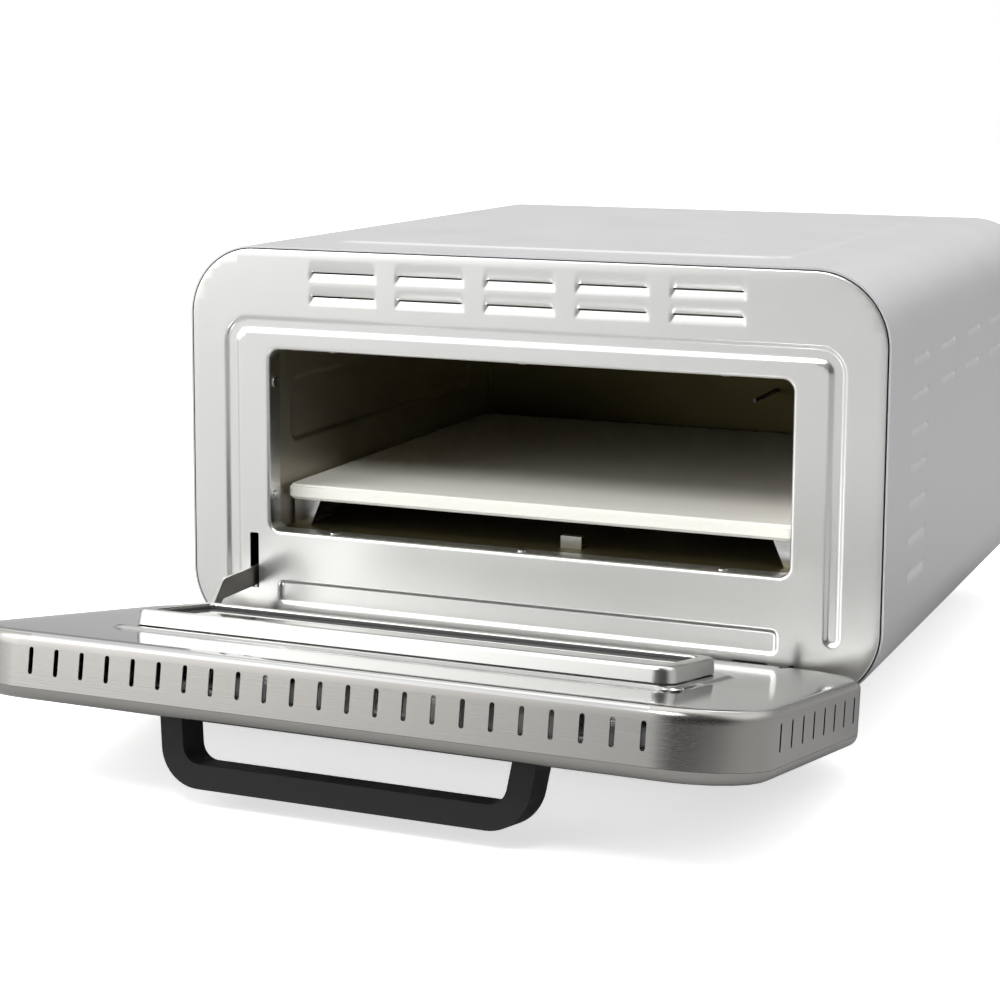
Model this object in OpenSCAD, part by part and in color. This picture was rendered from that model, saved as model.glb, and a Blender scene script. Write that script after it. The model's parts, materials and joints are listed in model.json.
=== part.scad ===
/* [Body] */
// Width of the sheet steel casing
body_w = 460; // [430:5:500]
// Height of the casing, without its feet
body_h = 258; // [254:1:280]
// Depth of the casing, from the front plate to the back edge
body_d = 465; // [455:1:500]
// Radius of the casing's four long corners
body_r = 46; // [30:1:52]
// Thickness of the casing's sheet
wrap_t = 1.2; // [0.8:0.1:1.6]
// Height of the feet
foot_h = 26; // [25:1:32]
// Radius of a foot
foot_r = 14; // [10:1:18]

/* [Front plate] */
// Thickness of the front plate's sheet
plate_t = 1.2; // [0.8:0.1:1.6]
// Gap between the plate's edge and the casing
plate_gap = 0.3; // [0.2:0.1:0.6]
// Width of the oven opening
open_w = 346; // [344:1:350]
// Height of the oven opening
open_h = 118.5; // [112:0.5:120]
// Bottom of the opening above the plate's bottom edge
open_z = 72; // [72:0.5:76]
// Corner radius of the opening
open_r = 7; // [4:1:10]
// Depth of the flange that turns in around the opening
flange_d = 15; // [13:1:18]
// Distance from the opening to the pressed channel's inner edge, at the sides
channel_x = 21; // [20:0.5:23]
// Distance from the opening to the pressed channel's inner edge, at the top
channel_z = 10.5; // [8:0.5:11]
// Width of the pressed channel
channel_w = 11; // [8:0.5:11]
// Depth of the pressed forms in the plate
press_d = 1.5; // [1:0.1:2]
// Length of the long pressed panel under the opening
recess_w = 334; // [300:2:336]
// Height of the long pressed panel
recess_h = 16.5; // [12:0.5:17]
// Bottom of the long pressed panel above the plate's bottom edge
recess_z = 24; // [24:0.5:27]

/* [Louvres] */
// Length of one front louvre
louvre_l = 48; // [40:1:50]
// Height of one louvre
louvre_h = 6.8; // [6:0.2:8]
// Distance between front louvres
louvre_step = 60; // [56:1:64]
// Depth of a louvre's pressing, at its open top
louvre_d = 3.2; // [2.6:0.1:4]
// Length of one side louvre
side_louvre_l = 48; // [40:1:60]
// Distance between side louvres along the casing
side_louvre_step = 79.5; // [70:0.5:86]
// Distance between side louvres up the casing
side_louvre_rise = 22; // [20:0.5:24]

/* [Door] */
// Height of the door
door_h = 263; // [262:1:268]
// Thickness of the door, face to face
door_t = 37; // [34:0.5:38]
// Thickness of the door's sheets
door_sheet = 1.2; // [0.8:0.1:1.5]
// Gap between the shut door and the front plate
door_gap = 2; // [1.8:0.1:3]
// Distance from the hinge pin to the shut door's inner face
hinge_in = 19; // [17:0.5:20]
// Height of the hinge pin above the door's bottom edge
hinge_up = 8; // [7:0.5:8.5]
// Angle the door opens to, from shut
open_angle = 80.4; // [70:0.2:84]
// Vent slots along the door's top edge
top_slots = 23; // [11:2:25]
// Distance between the top edge's vent slots
slot_step = 16; // [14:0.5:16]
// Vent slots down each side of the door
side_slots = 8; // [4:1:8]
// Distance between the side vent slots
side_slot_step = 22; // [18:0.5:24]
// Width of a vent slot
slot_w = 2.8; // [2:0.2:4]
// Length of a vent slot
slot_l = 15; // [10:1:16]
// Width of the window box on the door's inner face
window_w = 327; // [300:1:330]
// Height of the window box
window_h = 88; // [70:1:90]
// Bottom of the window box above the door's bottom edge
window_z = 95; // [90:1:96]
// How far the window box stands out of the inner face
window_out = 11; // [9:0.5:11.5]
// Thickness of each window pane
pane_t = 4; // [3:0.5:4]

/* [Handle and knobs] */
// Overall width of the handle at the door
handle_w = 222; // [180:2:240]
// How far the handle stands out of the door
handle_out = 40.5; // [36:0.5:42]
// Thickness of the handle's bar, seen from above
handle_bar = 13.5; // [10:0.5:14]
// Width of the handle's bar, up the door
handle_deep = 23; // [16:1:24]
// Height of the handle's middle above the door's bottom edge
handle_z = 221; // [216:1:234]
// Lean of the handle's posts, each towards the middle
handle_lean = 8; // [0:1:12]
// Outer corner radius of the handle
handle_r = 24; // [16:1:28]
// Radius of a control knob
knob_r = 17; // [14:1:19]
// Height of a control knob
knob_h = 13; // [11:0.5:14]
// Distance between the knobs
knob_step = 80; // [72:1:88]
// Height of the knobs above the door's bottom edge
knob_z = 46; // [44:1:50]

/* [Cavity] */
// Room between the cavity's back wall and the casing's back edge
back_room = 95; // [89:1:99]
// Thickness of the liner sheets
liner_t = 0.8; // [0.6:0.1:1]
// Width of the pizza stone
stone_w = 342; // [310:2:344]
// Gap between the pizza stone and the cavity's back wall
stone_back = 14; // [8:1:30]
// Thickness of the pizza stone
stone_t = 10; // [9:1:14]
// Corner radius of the pizza stone
stone_r = 6; // [3:1:20]
// Height of the stone's underside above the cavity floor
stone_z = 19.2; // [18.6:0.2:22]
// Radius of the heater tubes
tube_r = 3.2; // [2.8:0.1:4]
// Distance between heater tube runs
tube_step = 80; // [70:2:84]

/* [Fits] */
// Radius of the hinge pins
pin_r = 2.5; // [2:0.1:3]
// Radial running clearance of the pins
run_fit = 0.05; // [0.03:0.01:0.08]
// Gap left where one part rests beside another
seat_gap = 0.3; // [0.2:0.05:0.4]

/* [Hidden] */
$fn = 64;
eps = 0.1;

// Casing and plate
plate_w = body_w - 2 * (wrap_t + plate_gap);
plate_h = body_h - 2 * (wrap_t + plate_gap);
plate_r = body_r - wrap_t - plate_gap;
plate_z = foot_h + wrap_t + plate_gap;
wrap_y = 1;
rear_flange = 12;
edge_flange = 12;
base_gap_w = body_w - 180;
base_w = body_w - 96;
base_z = foot_h + wrap_t + seat_gap / 2;
back_y = body_d - 5;
mid_z = foot_h + body_h / 2;
foot_x = base_w / 2 - 16;
foot_y = 45;
top_panel_w = 310;
top_panel_margin = 50;
top_panel_rise = 1;
screw_r = 2;
head_r = 3.6;
head_h = 2;

// Louvres
louvre_drop = 13.7;
louvre_rise = 15.1;
louvre_foot = 0.6;
side_louvre_y = 84;
side_louvre_z = plate_z + 196;
side_louvre_rows = 7;

// Opening and cavity
opening_z = plate_z + open_z;
opening_mid = opening_z + open_h / 2;
liner_gap = 0.2;
cavity_w = open_w + 2 * (plate_t + liner_gap);
cavity_h = open_h + 2 * (plate_t + liner_gap);
cavity_z = opening_z - plate_t - liner_gap;
cavity_y = 3;
cavity_d = body_d - back_room;
stone_y = 20;
stone_d = cavity_d - stone_y - stone_back;
stone_base = cavity_z + stone_z;
wool_t = 20;
wool_side_y = 100;

// Heater tubes
tube_x = 1.5 * tube_step;
tube_front = 150;
tube_back = cavity_d - 45;
tube_clip_y = tube_front + 20;
upper_z = cavity_z + cavity_h - 11;
lower_z = cavity_z + 9;
bush_r = 6;
tube_tail = 16;

// Door, drawn shut
door_w = body_w;
door_r = body_r;
door_y = -door_gap;
door_z = mid_z - door_h / 2;
hinge_y = door_y - hinge_in;
hinge_z = door_z + hinge_up;
slot_n = 7.5;
step_out = 1.6;
step_side = 8;
step_top = 11;
lip_w = 10;
seal_w = 3;
lens_r = 3;
skin_edge = 7;
lip_t = 3.5;
pan_edge = 5;
pan_steps = 4;
skin_lip = 6;

// Hinges
ear_x = 176;
ear_t = 3;
ear_r = 4.5;
ear_low = 2;
ear_slot = 5.4;
ear_slot_z = 19.5;
strap_x = 150;
strap_z = 16.5;
strap_w = 24;
strap_h = 6;
leaf_t = 2;
leaf_gap = 3;
leaf_up = 36;

// Stay arm, drawn with the door open
arm_x = -184.5;
arm_t = 2;
arm_slot_w = 6.3;
arm_slot_z = 33.4;
arm_slot_h = 36.4;
arm_up = 50.9;
arm_in = 5.4;
arm_pin_r = 2;
arm_boss_r = 3.9;
arm_boss_l = 6;
arm_reach = 10.5;
arm_low = 35.1;
arm_high = 47.8;
arm_hook_l = 8;
arm_hook_z = 27.5;
cheek_t = 1.5;

// Knobs and controls
knob_gap = 1;
knob_cap = 4;
shaft_r = 3;
control_r = 14;
control_l = 14;

// Place of the whole part: the box of the open part is centred on the origin
function turned(y, z, a) = [y * cos(a) - z * sin(a), y * sin(a) + z * cos(a)];
door_far = turned(skin_edge - door_t + hinge_in, door_h - hinge_up, open_angle);
front_y = hinge_y + door_far[0];
frame_y = -(front_y + body_d) / 2;

// Moves a piece of the casing, drawn with the plate's face at y = 0, to its place
module placed() translate([0, frame_y, 0]) children();

// Swings a piece drawn with the door shut to the open door
module opened() placed() translate([0, hinge_y, hinge_z]) rotate([open_angle, 0, 0])
    translate([0, -hinge_y, -hinge_z]) children();

// A rectangle with true round corners, centred
module round_rect(w, h, r) {
    square([w - 2 * r, h], center = true);
    square([w, h - 2 * r], center = true);
    for (sx = [-1, 1], sz = [-1, 1])
        translate([sx * (w / 2 - r), sz * (h / 2 - r)]) circle(r);
}

// An upright slab from y = y1 to y = y2, centred at x and z
module slab(w, h, r, y1, y2, x = 0, z = 0) translate([x, y2, z]) rotate([90, 0, 0])
    linear_extrude(y2 - y1) round_rect(w, h, r);

// An upright ring: a slab with a smaller one cut out
module ring(w, h, r, t, y1, y2, x = 0, z = 0) difference() {
    slab(w, h, r, y1, y2, x, z);
    slab(w - 2 * t, h - 2 * t, max(r - t, 0.5), y1 - eps, y2 + eps, x, z);
}

// A block given by its lowest and highest corners
module block(a, b) translate(a) cube(b - a);

// A rod between two points
module rod(a, b, r) {
    d = b - a;
    l = norm(d);
    translate(a) rotate([0, acos(d[2] / l), atan2(d[1], d[0])]) cylinder(r = r, h = l, $fn = 20);
}

// A slot with round ends, long in x and z sizes, running through y
module slot(w, h, y1, y2, x, z) slab(w, h, min(w, h) / 2 - 0.01, y1, y2, x, z);

// A cylinder along y, x or z
module bar_y(r, y1, y2, x, z) translate([x, y2, z]) rotate([90, 0, 0]) cylinder(r = r, h = y2 - y1);
module bar_x(r, x1, x2, y, z) translate([x1, y, z]) rotate([0, 90, 0]) cylinder(r = r, h = x2 - x1);
module bar_z(r, z1, z2, x, y) translate([x, y, z1]) cylinder(r = r, h = z2 - z1);

// A screw along y with a low round head on the side that faces out
module screw_y(x, z, y, out, l) {
    bar_y(screw_r, min(y, y - out * l), max(y, y - out * l), x, z);
    bar_y(head_r, min(y, y + out * head_h), max(y, y + out * head_h), x, z);
}

// ---- Casing ----

function side_louvre_columns(row) = row < 2 ? [0, 1, 2, 3] : [0];

// Solid wedge of one louvre, open at its top: its face lies on y = 0 and it goes in along +y
module louvre_wedge(l, h, d, foot) rotate([90, 0, 90]) linear_extrude(l, center = true)
    polygon([[-eps, -h / 2 - foot], [0, -h / 2 - foot], [d, h / 2], [-eps, h / 2]]);

// The side louvres, as pockets or as the pressings around them
module side_louvres(grow) for (s = [-1, 1], row = [0:side_louvre_rows - 1])
    for (col = side_louvre_columns(row))
        translate([s * (body_w / 2 - eps * 0.1), side_louvre_y + col * side_louvre_step,
            side_louvre_z - row * side_louvre_rise]) rotate([0, 0, s * 90])
            louvre_wedge(side_louvre_l + 2 * grow, louvre_h, louvre_d + grow, grow > 0 ? louvre_foot : 0);

module outer_wrap() color("gainsboro") placed() difference() {
    union() {
        ring(body_w, body_h, body_r, wrap_t, wrap_y, body_d, 0, mid_z);
        difference() {
            slab(body_w - eps, body_h - eps, body_r, back_y - wrap_t, back_y, 0, mid_z);
            slab(body_w - 2 * rear_flange, body_h - 2 * rear_flange, body_r - rear_flange,
                back_y - wrap_t - eps, back_y + eps, 0, mid_z);
        }
        intersection() {
            side_louvres(wrap_t);
            slab(body_w - eps, body_h, body_r, wrap_y, body_d, 0, mid_z);
        }
        // Pressed field on the top
        translate([0, body_d / 2, foot_h + body_h - eps]) linear_extrude(top_panel_rise + eps)
            round_rect(top_panel_w, body_d - 2 * top_panel_margin, 14);
    }
    side_louvres(0);
    // Bottom left open for the base plate
    block([-base_gap_w / 2, wrap_y - eps, foot_h - eps],
        [base_gap_w / 2, body_d + eps, foot_h + rear_flange + 1]);
    // Holes for the feet and the base screws
    for (x = [-foot_x, foot_x], y = [foot_y, body_d - foot_y])
        bar_z(screw_r + seat_gap, foot_h - eps, base_z + eps, x, y);
    for (p = base_screw_spots) bar_z(screw_r + seat_gap, foot_h - eps, base_z + eps, p[0], p[1]);
    for (p = back_screw_spots) bar_y(screw_r + seat_gap, back_y - 3, back_y + eps, p[0], p[1]);
}

base_screw_spots = [for (s = [-1, 1], k = [0.237, 0.5, 0.763]) [s * (base_w / 2 - 30), k * body_d]];
back_screw_x = body_w / 2 - rear_flange / 2 - 1;
back_screw_z = body_h / 2 - rear_flange / 2 - 1;
back_screw_spots = concat(
    [for (sx = [-1, 1], sz = [-1, 1]) [sx * back_screw_x, mid_z + sz * body_h / 5]],
    [for (k = [-1:1]) [k * body_w * 0.26, mid_z + back_screw_z]],
    [for (s = [-1, 1]) [s * body_w * 0.35, mid_z - back_screw_z]]);

// Places of the front louvres' middles
front_louvres = [for (row = [0, 1], i = [-2:2])
    [i * louvre_step, plate_z + plate_h - louvre_drop - louvre_h / 2 - row * louvre_rise]];

// The channel pressed up both sides of the opening and over it
channel_end_z = plate_z + 38;
module channel(grow, y1, y2) {
    w = open_w + 2 * channel_x;
    top_z = opening_z + open_h + channel_z;
    h = top_z - channel_end_z;
    difference() {
        slab(w + 2 * channel_w + 2 * grow, 2 * (h + channel_w + grow), 16 + grow, y1, y2, 0, channel_end_z);
        slab(w - 2 * grow, 2 * (h - grow), 8, y1 - eps, y2 + eps, 0, channel_end_z);
        block([-plate_w, y1 - eps, -plate_h], [plate_w, y2 + eps, channel_end_z]);
    }
    for (s = [-1, 1]) bar_y(channel_w / 2 + grow, y1, y2, s * (w + channel_w) / 2, channel_end_z);
}

module front_plate() color("gainsboro") placed() difference() {
    union() {
        slab(plate_w, plate_h, plate_r, 0, plate_t, 0, mid_z);
        ring(plate_w, plate_h, plate_r, plate_t, 0, edge_flange, 0, mid_z);
        ring(open_w + 2 * plate_t, open_h + 2 * plate_t, open_r + plate_t, plate_t, 0, flange_d, 0,
            opening_mid);
        channel(plate_t, 0, press_d + plate_t);
        slab(recess_w + 2 * plate_t, recess_h + 2 * plate_t, 4 + plate_t, 0, press_d + plate_t, 0,
            plate_z + recess_z + recess_h / 2);
        for (p = front_louvres) translate([p[0], eps, p[1]])
            louvre_wedge(louvre_l + 2 * plate_t, louvre_h, louvre_d + plate_t, louvre_foot);
    }
    slab(open_w, open_h, open_r, -eps, flange_d + eps, 0, opening_mid);
    channel(0, -eps, press_d);
    slab(recess_w, recess_h, 4, -eps, press_d, 0, plate_z + recess_z + recess_h / 2);
    for (p = front_louvres) translate([p[0], 0, p[1]]) louvre_wedge(louvre_l, louvre_h, louvre_d, 0);
    // Slot of the stay arm
    block([arm_x - arm_slot_w / 2, -eps, plate_z + arm_slot_z],
        [arm_x + arm_slot_w / 2, plate_t + eps, plate_z + arm_slot_z + arm_slot_h]);
    // Slots of the hinge ears, and the long slots beside them
    for (s = [-1, 1]) {
        block([s * ear_x - ear_t / 2 - seat_gap, -eps, hinge_z - ear_low - seat_gap],
            [s * ear_x + ear_t / 2 + seat_gap, plate_t + eps, plate_z + ear_slot_z]);
        slot(strap_w, strap_h, -eps, plate_t + eps, s * strap_x, plate_z + strap_z);
    }
    // Rivet holes in the opening's flange
    for (p = rivet_spots_side, s = [-1, 1])
        bar_x(rivet_r + liner_gap / 2, s * cavity_w / 2 - 3, s * cavity_w / 2 + 3, p[0], p[1]);
    for (p = rivet_spots_floor, z = [cavity_z, cavity_z + cavity_h])
        bar_z(rivet_r + liner_gap / 2, z - 3, z + 3, p[0], p[1]);
}

module back_panel() color("darkgray") placed() difference() {
    slab(plate_w, plate_h, plate_r, back_y + seat_gap / 2, back_y + seat_gap / 2 + wrap_t, 0, mid_z);
    // Two fields of vent slots
    for (sx = [-1, 1], i = [-5:5], z = [-62, 38])
        slot(3, 44, back_y, back_y + 3, sx * 105 + i * 10, mid_z + z + 22);
    bar_y(gland_r + seat_gap / 2, back_y, back_y + 3, gland_x, gland_z);
    for (p = back_screw_spots)
        bar_y(screw_r + seat_gap, back_y, back_y + 3, p[0], p[1]);
}

module back_screws() color("silver") placed() for (p = back_screw_spots)
    screw_y(p[0], p[1], back_y + seat_gap / 2 + wrap_t, 1, 6);

module base_plate() color("darkgray") placed() difference() {
    block([-base_w / 2, edge_flange + 2, base_z], [base_w / 2, back_y - 3, base_z + wrap_t]);
    for (x = [-foot_x, foot_x], y = [foot_y, body_d - foot_y])
        bar_z(screw_r + seat_gap, base_z - eps, base_z + 2, x, y);
    for (p = base_screw_spots) bar_z(screw_r + seat_gap, base_z - eps, base_z + 2, p[0], p[1]);
    // Air slots in the floor of the casing
    for (i = [-5:5], y = [120, 300])
        block([i * 20 - 2, y, base_z - eps], [i * 20 + 2, y + 60, base_z + 2]);
}

module base_screws() color("silver") placed() for (p = base_screw_spots) {
    bar_z(screw_r, foot_h, base_z + wrap_t + 2, p[0], p[1]);
    bar_z(head_r, foot_h - head_h, foot_h, p[0], p[1]);
}

module feet() color("dimgray") placed() for (x = [-foot_x, foot_x], y = [foot_y, body_d - foot_y])
    difference() {
        union() {
            bar_z(foot_r, 0, 3, x, y);
            translate([x, y, 3]) cylinder(r1 = foot_r, r2 = foot_r - 2, h = foot_h - 3);
        }
        bar_z(head_r + seat_gap, -eps, foot_h - 4, x, y);
        bar_z(screw_r + seat_gap, 0, foot_h + eps, x, y);
    }

module foot_screws() color("silver") placed() for (x = [-foot_x, foot_x], y = [foot_y, body_d - foot_y]) {
    bar_z(screw_r, foot_h - 4, base_z + wrap_t + 4, x, y);
    bar_z(head_r, foot_h - 4 - head_h, foot_h - 4, x, y);
}

// ---- Oven cavity ----

rivet_r = 1.6;
rivet_spots_side = [[8, opening_z + 22], [8, opening_z + open_h - 22]];
rivet_spots_floor = [for (k = [-1:1]) [k * open_w * 0.376, 8]];

module liner_sides() color("slategray") placed() for (s = [-1, 1]) difference() {
    union() {
        block([min(s * cavity_w / 2, s * (cavity_w / 2 + liner_t)), cavity_y, cavity_z],
            [max(s * cavity_w / 2, s * (cavity_w / 2 + liner_t)), cavity_d, cavity_z + cavity_h]);
        // Long field pressed outwards to stiffen the wall
        block([min(s * cavity_w / 2, s * (cavity_w / 2 + 1.6 + liner_t)), 34 - liner_t, cavity_z + 54],
            [max(s * cavity_w / 2, s * (cavity_w / 2 + 1.6 + liner_t)), cavity_d - 40 + liner_t,
                cavity_z + 98]);
    }
    translate([s * cavity_w / 2, cavity_d / 2 - 3, cavity_z + 76])
        cube([3.2, cavity_d - 74, 42], center = true);
    for (p = rivet_spots_side)
        bar_x(rivet_r + liner_gap / 2, s * cavity_w / 2 - 3, s * cavity_w / 2 + 3, p[0], p[1]);
}

// A flat liner sheet over or under the cavity, with its rivet holes
module liner_sheet(z) difference() {
    block([-cavity_w / 2, cavity_y, z], [cavity_w / 2, cavity_d, z + liner_t]);
    for (p = rivet_spots_floor) bar_z(rivet_r + liner_gap / 2, z - 2, z + 2, p[0], p[1]);
}

module liner_top() color("slategray") placed() liner_sheet(cavity_z + cavity_h);
module liner_floor() color("slategray") placed() liner_sheet(cavity_z - liner_t);

// Each heater tube's ends, as x and z
tube_ends = [for (x = [-tube_x, tube_x], z = [lower_z, upper_z]) [x, z]];
probe_spots = [[-60, upper_z - 16], [60, lower_z + 50]];

module liner_back() color("slategray") placed() difference() {
    block([-cavity_w / 2 - 6, cavity_d + seat_gap, cavity_z - 6],
        [cavity_w / 2 + 6, cavity_d + seat_gap + liner_t, cavity_z + cavity_h + 6]);
    for (p = tube_ends) bar_y(bush_r - 1, cavity_d - 2, cavity_d + 4, p[0], p[1]);
    for (p = probe_spots) bar_y(1.7, cavity_d - 2, cavity_d + 4, p[0], p[1]);
}

module liner_rivets() color("silver") placed() {
    for (p = rivet_spots_side, s = [-1, 1]) {
        bar_x(rivet_r, s * cavity_w / 2 - 1.6, s * cavity_w / 2 + 1.6, p[0], p[1]);
        bar_x(2 * rivet_r, s * cavity_w / 2 - 2.2 + (s < 0 ? 3.6 : 0),
            s * cavity_w / 2 - 1.4 + (s < 0 ? 3.6 : 0), p[0], p[1]);
    }
    for (p = rivet_spots_floor, k = [0, 1]) {
        z = cavity_z + k * cavity_h;
        bar_z(rivet_r, z - 1.6, z + 1.6, p[0], p[1]);
        bar_z(2 * rivet_r, z + (k == 0 ? 1.4 : -2.2), z + (k == 0 ? 2.2 : -1.4), p[0], p[1]);
    }
}

module insulation() color("khaki") placed() {
    x = cavity_w / 2;
    roof = cavity_z + cavity_h + liner_t + seat_gap;
    floor_z = cavity_z - liner_t - seat_gap;
    block([-x, wool_side_y / 5, roof], [x, cavity_d, roof + wool_t]);
    block([-x, wool_side_y / 5, floor_z - wool_t], [x, cavity_d, floor_z]);
    for (s = [-1, 1]) {
        inner = x + liner_t + 1.6 + seat_gap;
        block([min(s * inner, s * (inner + wool_t)), wool_side_y, cavity_z],
            [max(s * inner, s * (inner + wool_t)), cavity_d, cavity_z + cavity_h]);
    }
    difference() {
        block([-x, cavity_d + liner_t + 2 * seat_gap, cavity_z],
            [x, cavity_d + liner_t + 2 * seat_gap + wool_t, cavity_z + cavity_h]);
        for (p = tube_ends) bar_y(bush_r + 2, cavity_d, cavity_d + 2 * wool_t, p[0], p[1]);
        for (p = probe_spots) bar_y(3, cavity_d, cavity_d + 2 * wool_t, p[0], p[1]);
    }
}

// Four folded brackets that carry the stone's corners
module stone_supports() color("silver") placed() for (s = [-1, 1], y = [stone_y + 14, stone_y + stone_d - 66]) {
    x = cavity_w / 2 - 2;
    translate([s * x, y, cavity_z]) mirror([s < 0 ? 0 : 1, 0, 0]) {
        linear_extrude(1.2) square([12, 30]);
        translate([0, 0, stone_z - seat_gap - 1.2]) linear_extrude(1.2) square([20, 30]);
        translate([0, 1.2, 0]) rotate([90, 0, 0]) linear_extrude(1.2)
            polygon([[0, 0], [12, 0], [20, stone_z - seat_gap], [0, stone_z - seat_gap]]);
        linear_extrude(stone_z - seat_gap) square([1.2, 30]);
    }
}

module pizza_stone() color("ivory") placed() translate([0, stone_y + stone_d / 2, stone_base]) {
    linear_extrude(1.5) round_rect(stone_w - 3, stone_d - 3, stone_r - 1.5);
    translate([0, 0, 1.5]) linear_extrude(stone_t - 3) round_rect(stone_w, stone_d, stone_r);
    translate([0, 0, stone_t - 1.5]) linear_extrude(1.5) round_rect(stone_w - 3, stone_d - 3, stone_r - 1.5);
}

// A heater tube bent back and forth, with both ends out through the cavity's back
module heater(z) {
    end_y = cavity_d + liner_t + wool_t + tube_tail;
    for (s = [-1, 1]) {
        bar_y(tube_r, tube_front, end_y, s * tube_x, z);
        bar_y(tube_r, tube_front, tube_back, s * tube_step / 2, z);
        translate([s * tube_step, tube_front, z]) rotate([0, 0, 180])
            rotate_extrude(angle = 180) translate([tube_step / 2, 0]) circle(tube_r, $fn = 32);
    }
    translate([0, tube_back, z])
        rotate_extrude(angle = 180) translate([tube_step / 2, 0]) circle(tube_r, $fn = 32);
}

module upper_element() color("dimgray") placed() heater(upper_z);
module lower_element() color("dimgray") placed() heater(lower_z);

module element_bushes() color("white") placed() for (p = tube_ends) difference() {
    union() {
        bar_y(bush_r - 1.3, cavity_d - 1, cavity_d + liner_t + seat_gap, p[0], p[1]);
        bar_y(bush_r, cavity_d + liner_t + seat_gap, cavity_d + liner_t + seat_gap + 6, p[0], p[1]);
    }
    bar_y(tube_r + run_fit, cavity_d - 2, cavity_d + 12, p[0], p[1]);
}

// Sheet clips that hold the tubes behind their front bends, on the floor and under the roof
module element_clips() color("silver") placed() for (x = [-tube_step / 2, tube_step / 2]) {
    y = tube_clip_y;
    block([x - 6, y, cavity_z], [x + 6, y + 2, lower_z - tube_r]);
    block([x - 6, y + 2, cavity_z], [x + 6, y + 14, cavity_z + 1]);
    difference() {
        block([x - 6, y, upper_z - tube_r - 2], [x + 6, y + 2, cavity_z + cavity_h]);
        bar_y(tube_r + run_fit, y - 1, y + 3, x, upper_z);
    }
}

// Small folded clip on the cavity floor, under the stone's front edge
floor_clip_x = 23;
floor_clip_y = 33;
module floor_clip() color("silver") placed() translate([floor_clip_x, floor_clip_y, cavity_z]) {
    block([-7, 0, 0], [7, 10, 1]);
    block([-7, 0, 0], [7, 1, 8]);
    block([-7, 0, 7], [7, 5, 8]);
}

module temperature_probes() color("silver") placed() for (p = probe_spots) {
    bar_y(1.5, cavity_d - 60, cavity_d + liner_t + wool_t + 14, p[0], p[1]);
    bar_y(2.6, cavity_d + liner_t + wool_t + 2, cavity_d + liner_t + wool_t + 12, p[0], p[1]);
}

// Overheat switch on a bracket that stands on the cavity's back wall
cutout_y = cavity_d + liner_t + wool_t + 1;
module thermal_cutout() color("tan") placed() {
    block([-12, cutout_y, opening_mid - 14], [12, cutout_y + 1.5, opening_mid + 14]);
    bar_y(8, cutout_y + 1.5, cutout_y + 9, 0, opening_mid);
    for (s = [-1, 1]) block([s * 4 - 1.5, cutout_y + 9, opening_mid - 3],
        [s * 4 + 1.5, cutout_y + 16, opening_mid + 3]);
}

block_y = back_y - 45;
module terminal_block() color("ivory") placed() difference() {
    block([-30, block_y, base_z + wrap_t], [30, block_y + 20, base_z + wrap_t + 18]);
    for (i = [-2:2])
        bar_z(3, base_z + wrap_t + 8, base_z + wrap_t + 19, i * 11, block_y + 10);
}

// Wires from the terminal block to the heater ends, the overheat switch and the door side
wire_r = 1.4;
module wire(points) {
    for (i = [0:len(points) - 2]) rod(points[i], points[i + 1], wire_r);
    for (i = [1:len(points) - 2]) translate(points[i]) sphere(wire_r, $fn = 20);
}
module wiring_loom() color("firebrick") placed() {
    deck = base_z + wrap_t + 3;
    end_y = cavity_d + liner_t + wool_t + tube_tail;
    for (i = [0:3]) {
        p = tube_ends[i];
        y = block_y + 24 + i * 5;
        wire([[p[0], end_y, p[1]], [p[0], y, p[1]], [p[0], y, deck + i * 4],
            [(i - 1.5) * 11, y, deck + i * 4], [(i - 1.5) * 11, block_y + 20, deck + i * 4]]);
    }
}

gland_x = -170;
gland_z = foot_h + 40;
gland_r = 8;
module cable_gland() color("black") placed() difference() {
    union() {
        bar_y(gland_r, back_y - 8, back_y + 2, gland_x, gland_z);
        bar_y(gland_r + 3, back_y - 11, back_y - 8, gland_x, gland_z);
        bar_y(gland_r + 2, back_y + seat_gap + wrap_t, back_y + 3, gland_x, gland_z);
    }
    bar_y(3.6, back_y - 12, back_y + 4, gland_x, gland_z);
}

// ---- Hinges ----

ear_seat = plate_t;
ear_back = 2;
ear_stud = 11;
ear_wing = 16;
ear_stud_x = ear_x - ear_wing / 2 - 1.5;
module hinge_ears() color("silver") placed() for (s = [-1, 1]) difference() {
    union() {
        block([s * ear_x - ear_t / 2, hinge_y, hinge_z - ear_low],
            [s * ear_x + ear_t / 2, ear_seat + ear_back, hinge_z + ear_r]);
        bar_x(ear_r, s * ear_x - ear_t / 2, s * ear_x + ear_t / 2, hinge_y, hinge_z);
        block([min(s * ear_x, s * (ear_x - ear_wing)), ear_seat, hinge_z - ear_low],
            [max(s * ear_x, s * (ear_x - ear_wing)), ear_seat + ear_back, hinge_z + ear_r]);
        block([min(s * (ear_x - 3), s * (ear_x - ear_wing)), ear_seat, hinge_z - ear_low],
            [max(s * (ear_x - 3), s * (ear_x - ear_wing)), ear_seat + ear_back,
                hinge_z + ear_stud + head_r + 2]);
    }
    bar_x(pin_r + run_fit, s * ear_x - 5, s * ear_x + 5, hinge_y, hinge_z);
    bar_y(screw_r, 0, ear_seat + ear_back + eps, s * ear_stud_x, hinge_z + ear_stud);
}

// Studs on the plate's back, each with its nut
module ear_studs() color("silver") placed() for (s = [-1, 1]) {
    bar_y(screw_r - run_fit, plate_t, ear_seat + ear_back + head_h, s * ear_stud_x, hinge_z + ear_stud);
    bar_y(head_r, ear_seat + ear_back, ear_seat + ear_back + head_h, s * ear_stud_x, hinge_z + ear_stud);
}

module hinge_pins() color("silver") opened() for (s = [-1, 1])
    bar_x(pin_r, s * ear_x - leaf_gap - leaf_t - 1, s * ear_x + leaf_gap + leaf_t + 1, hinge_y, hinge_z);

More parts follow.
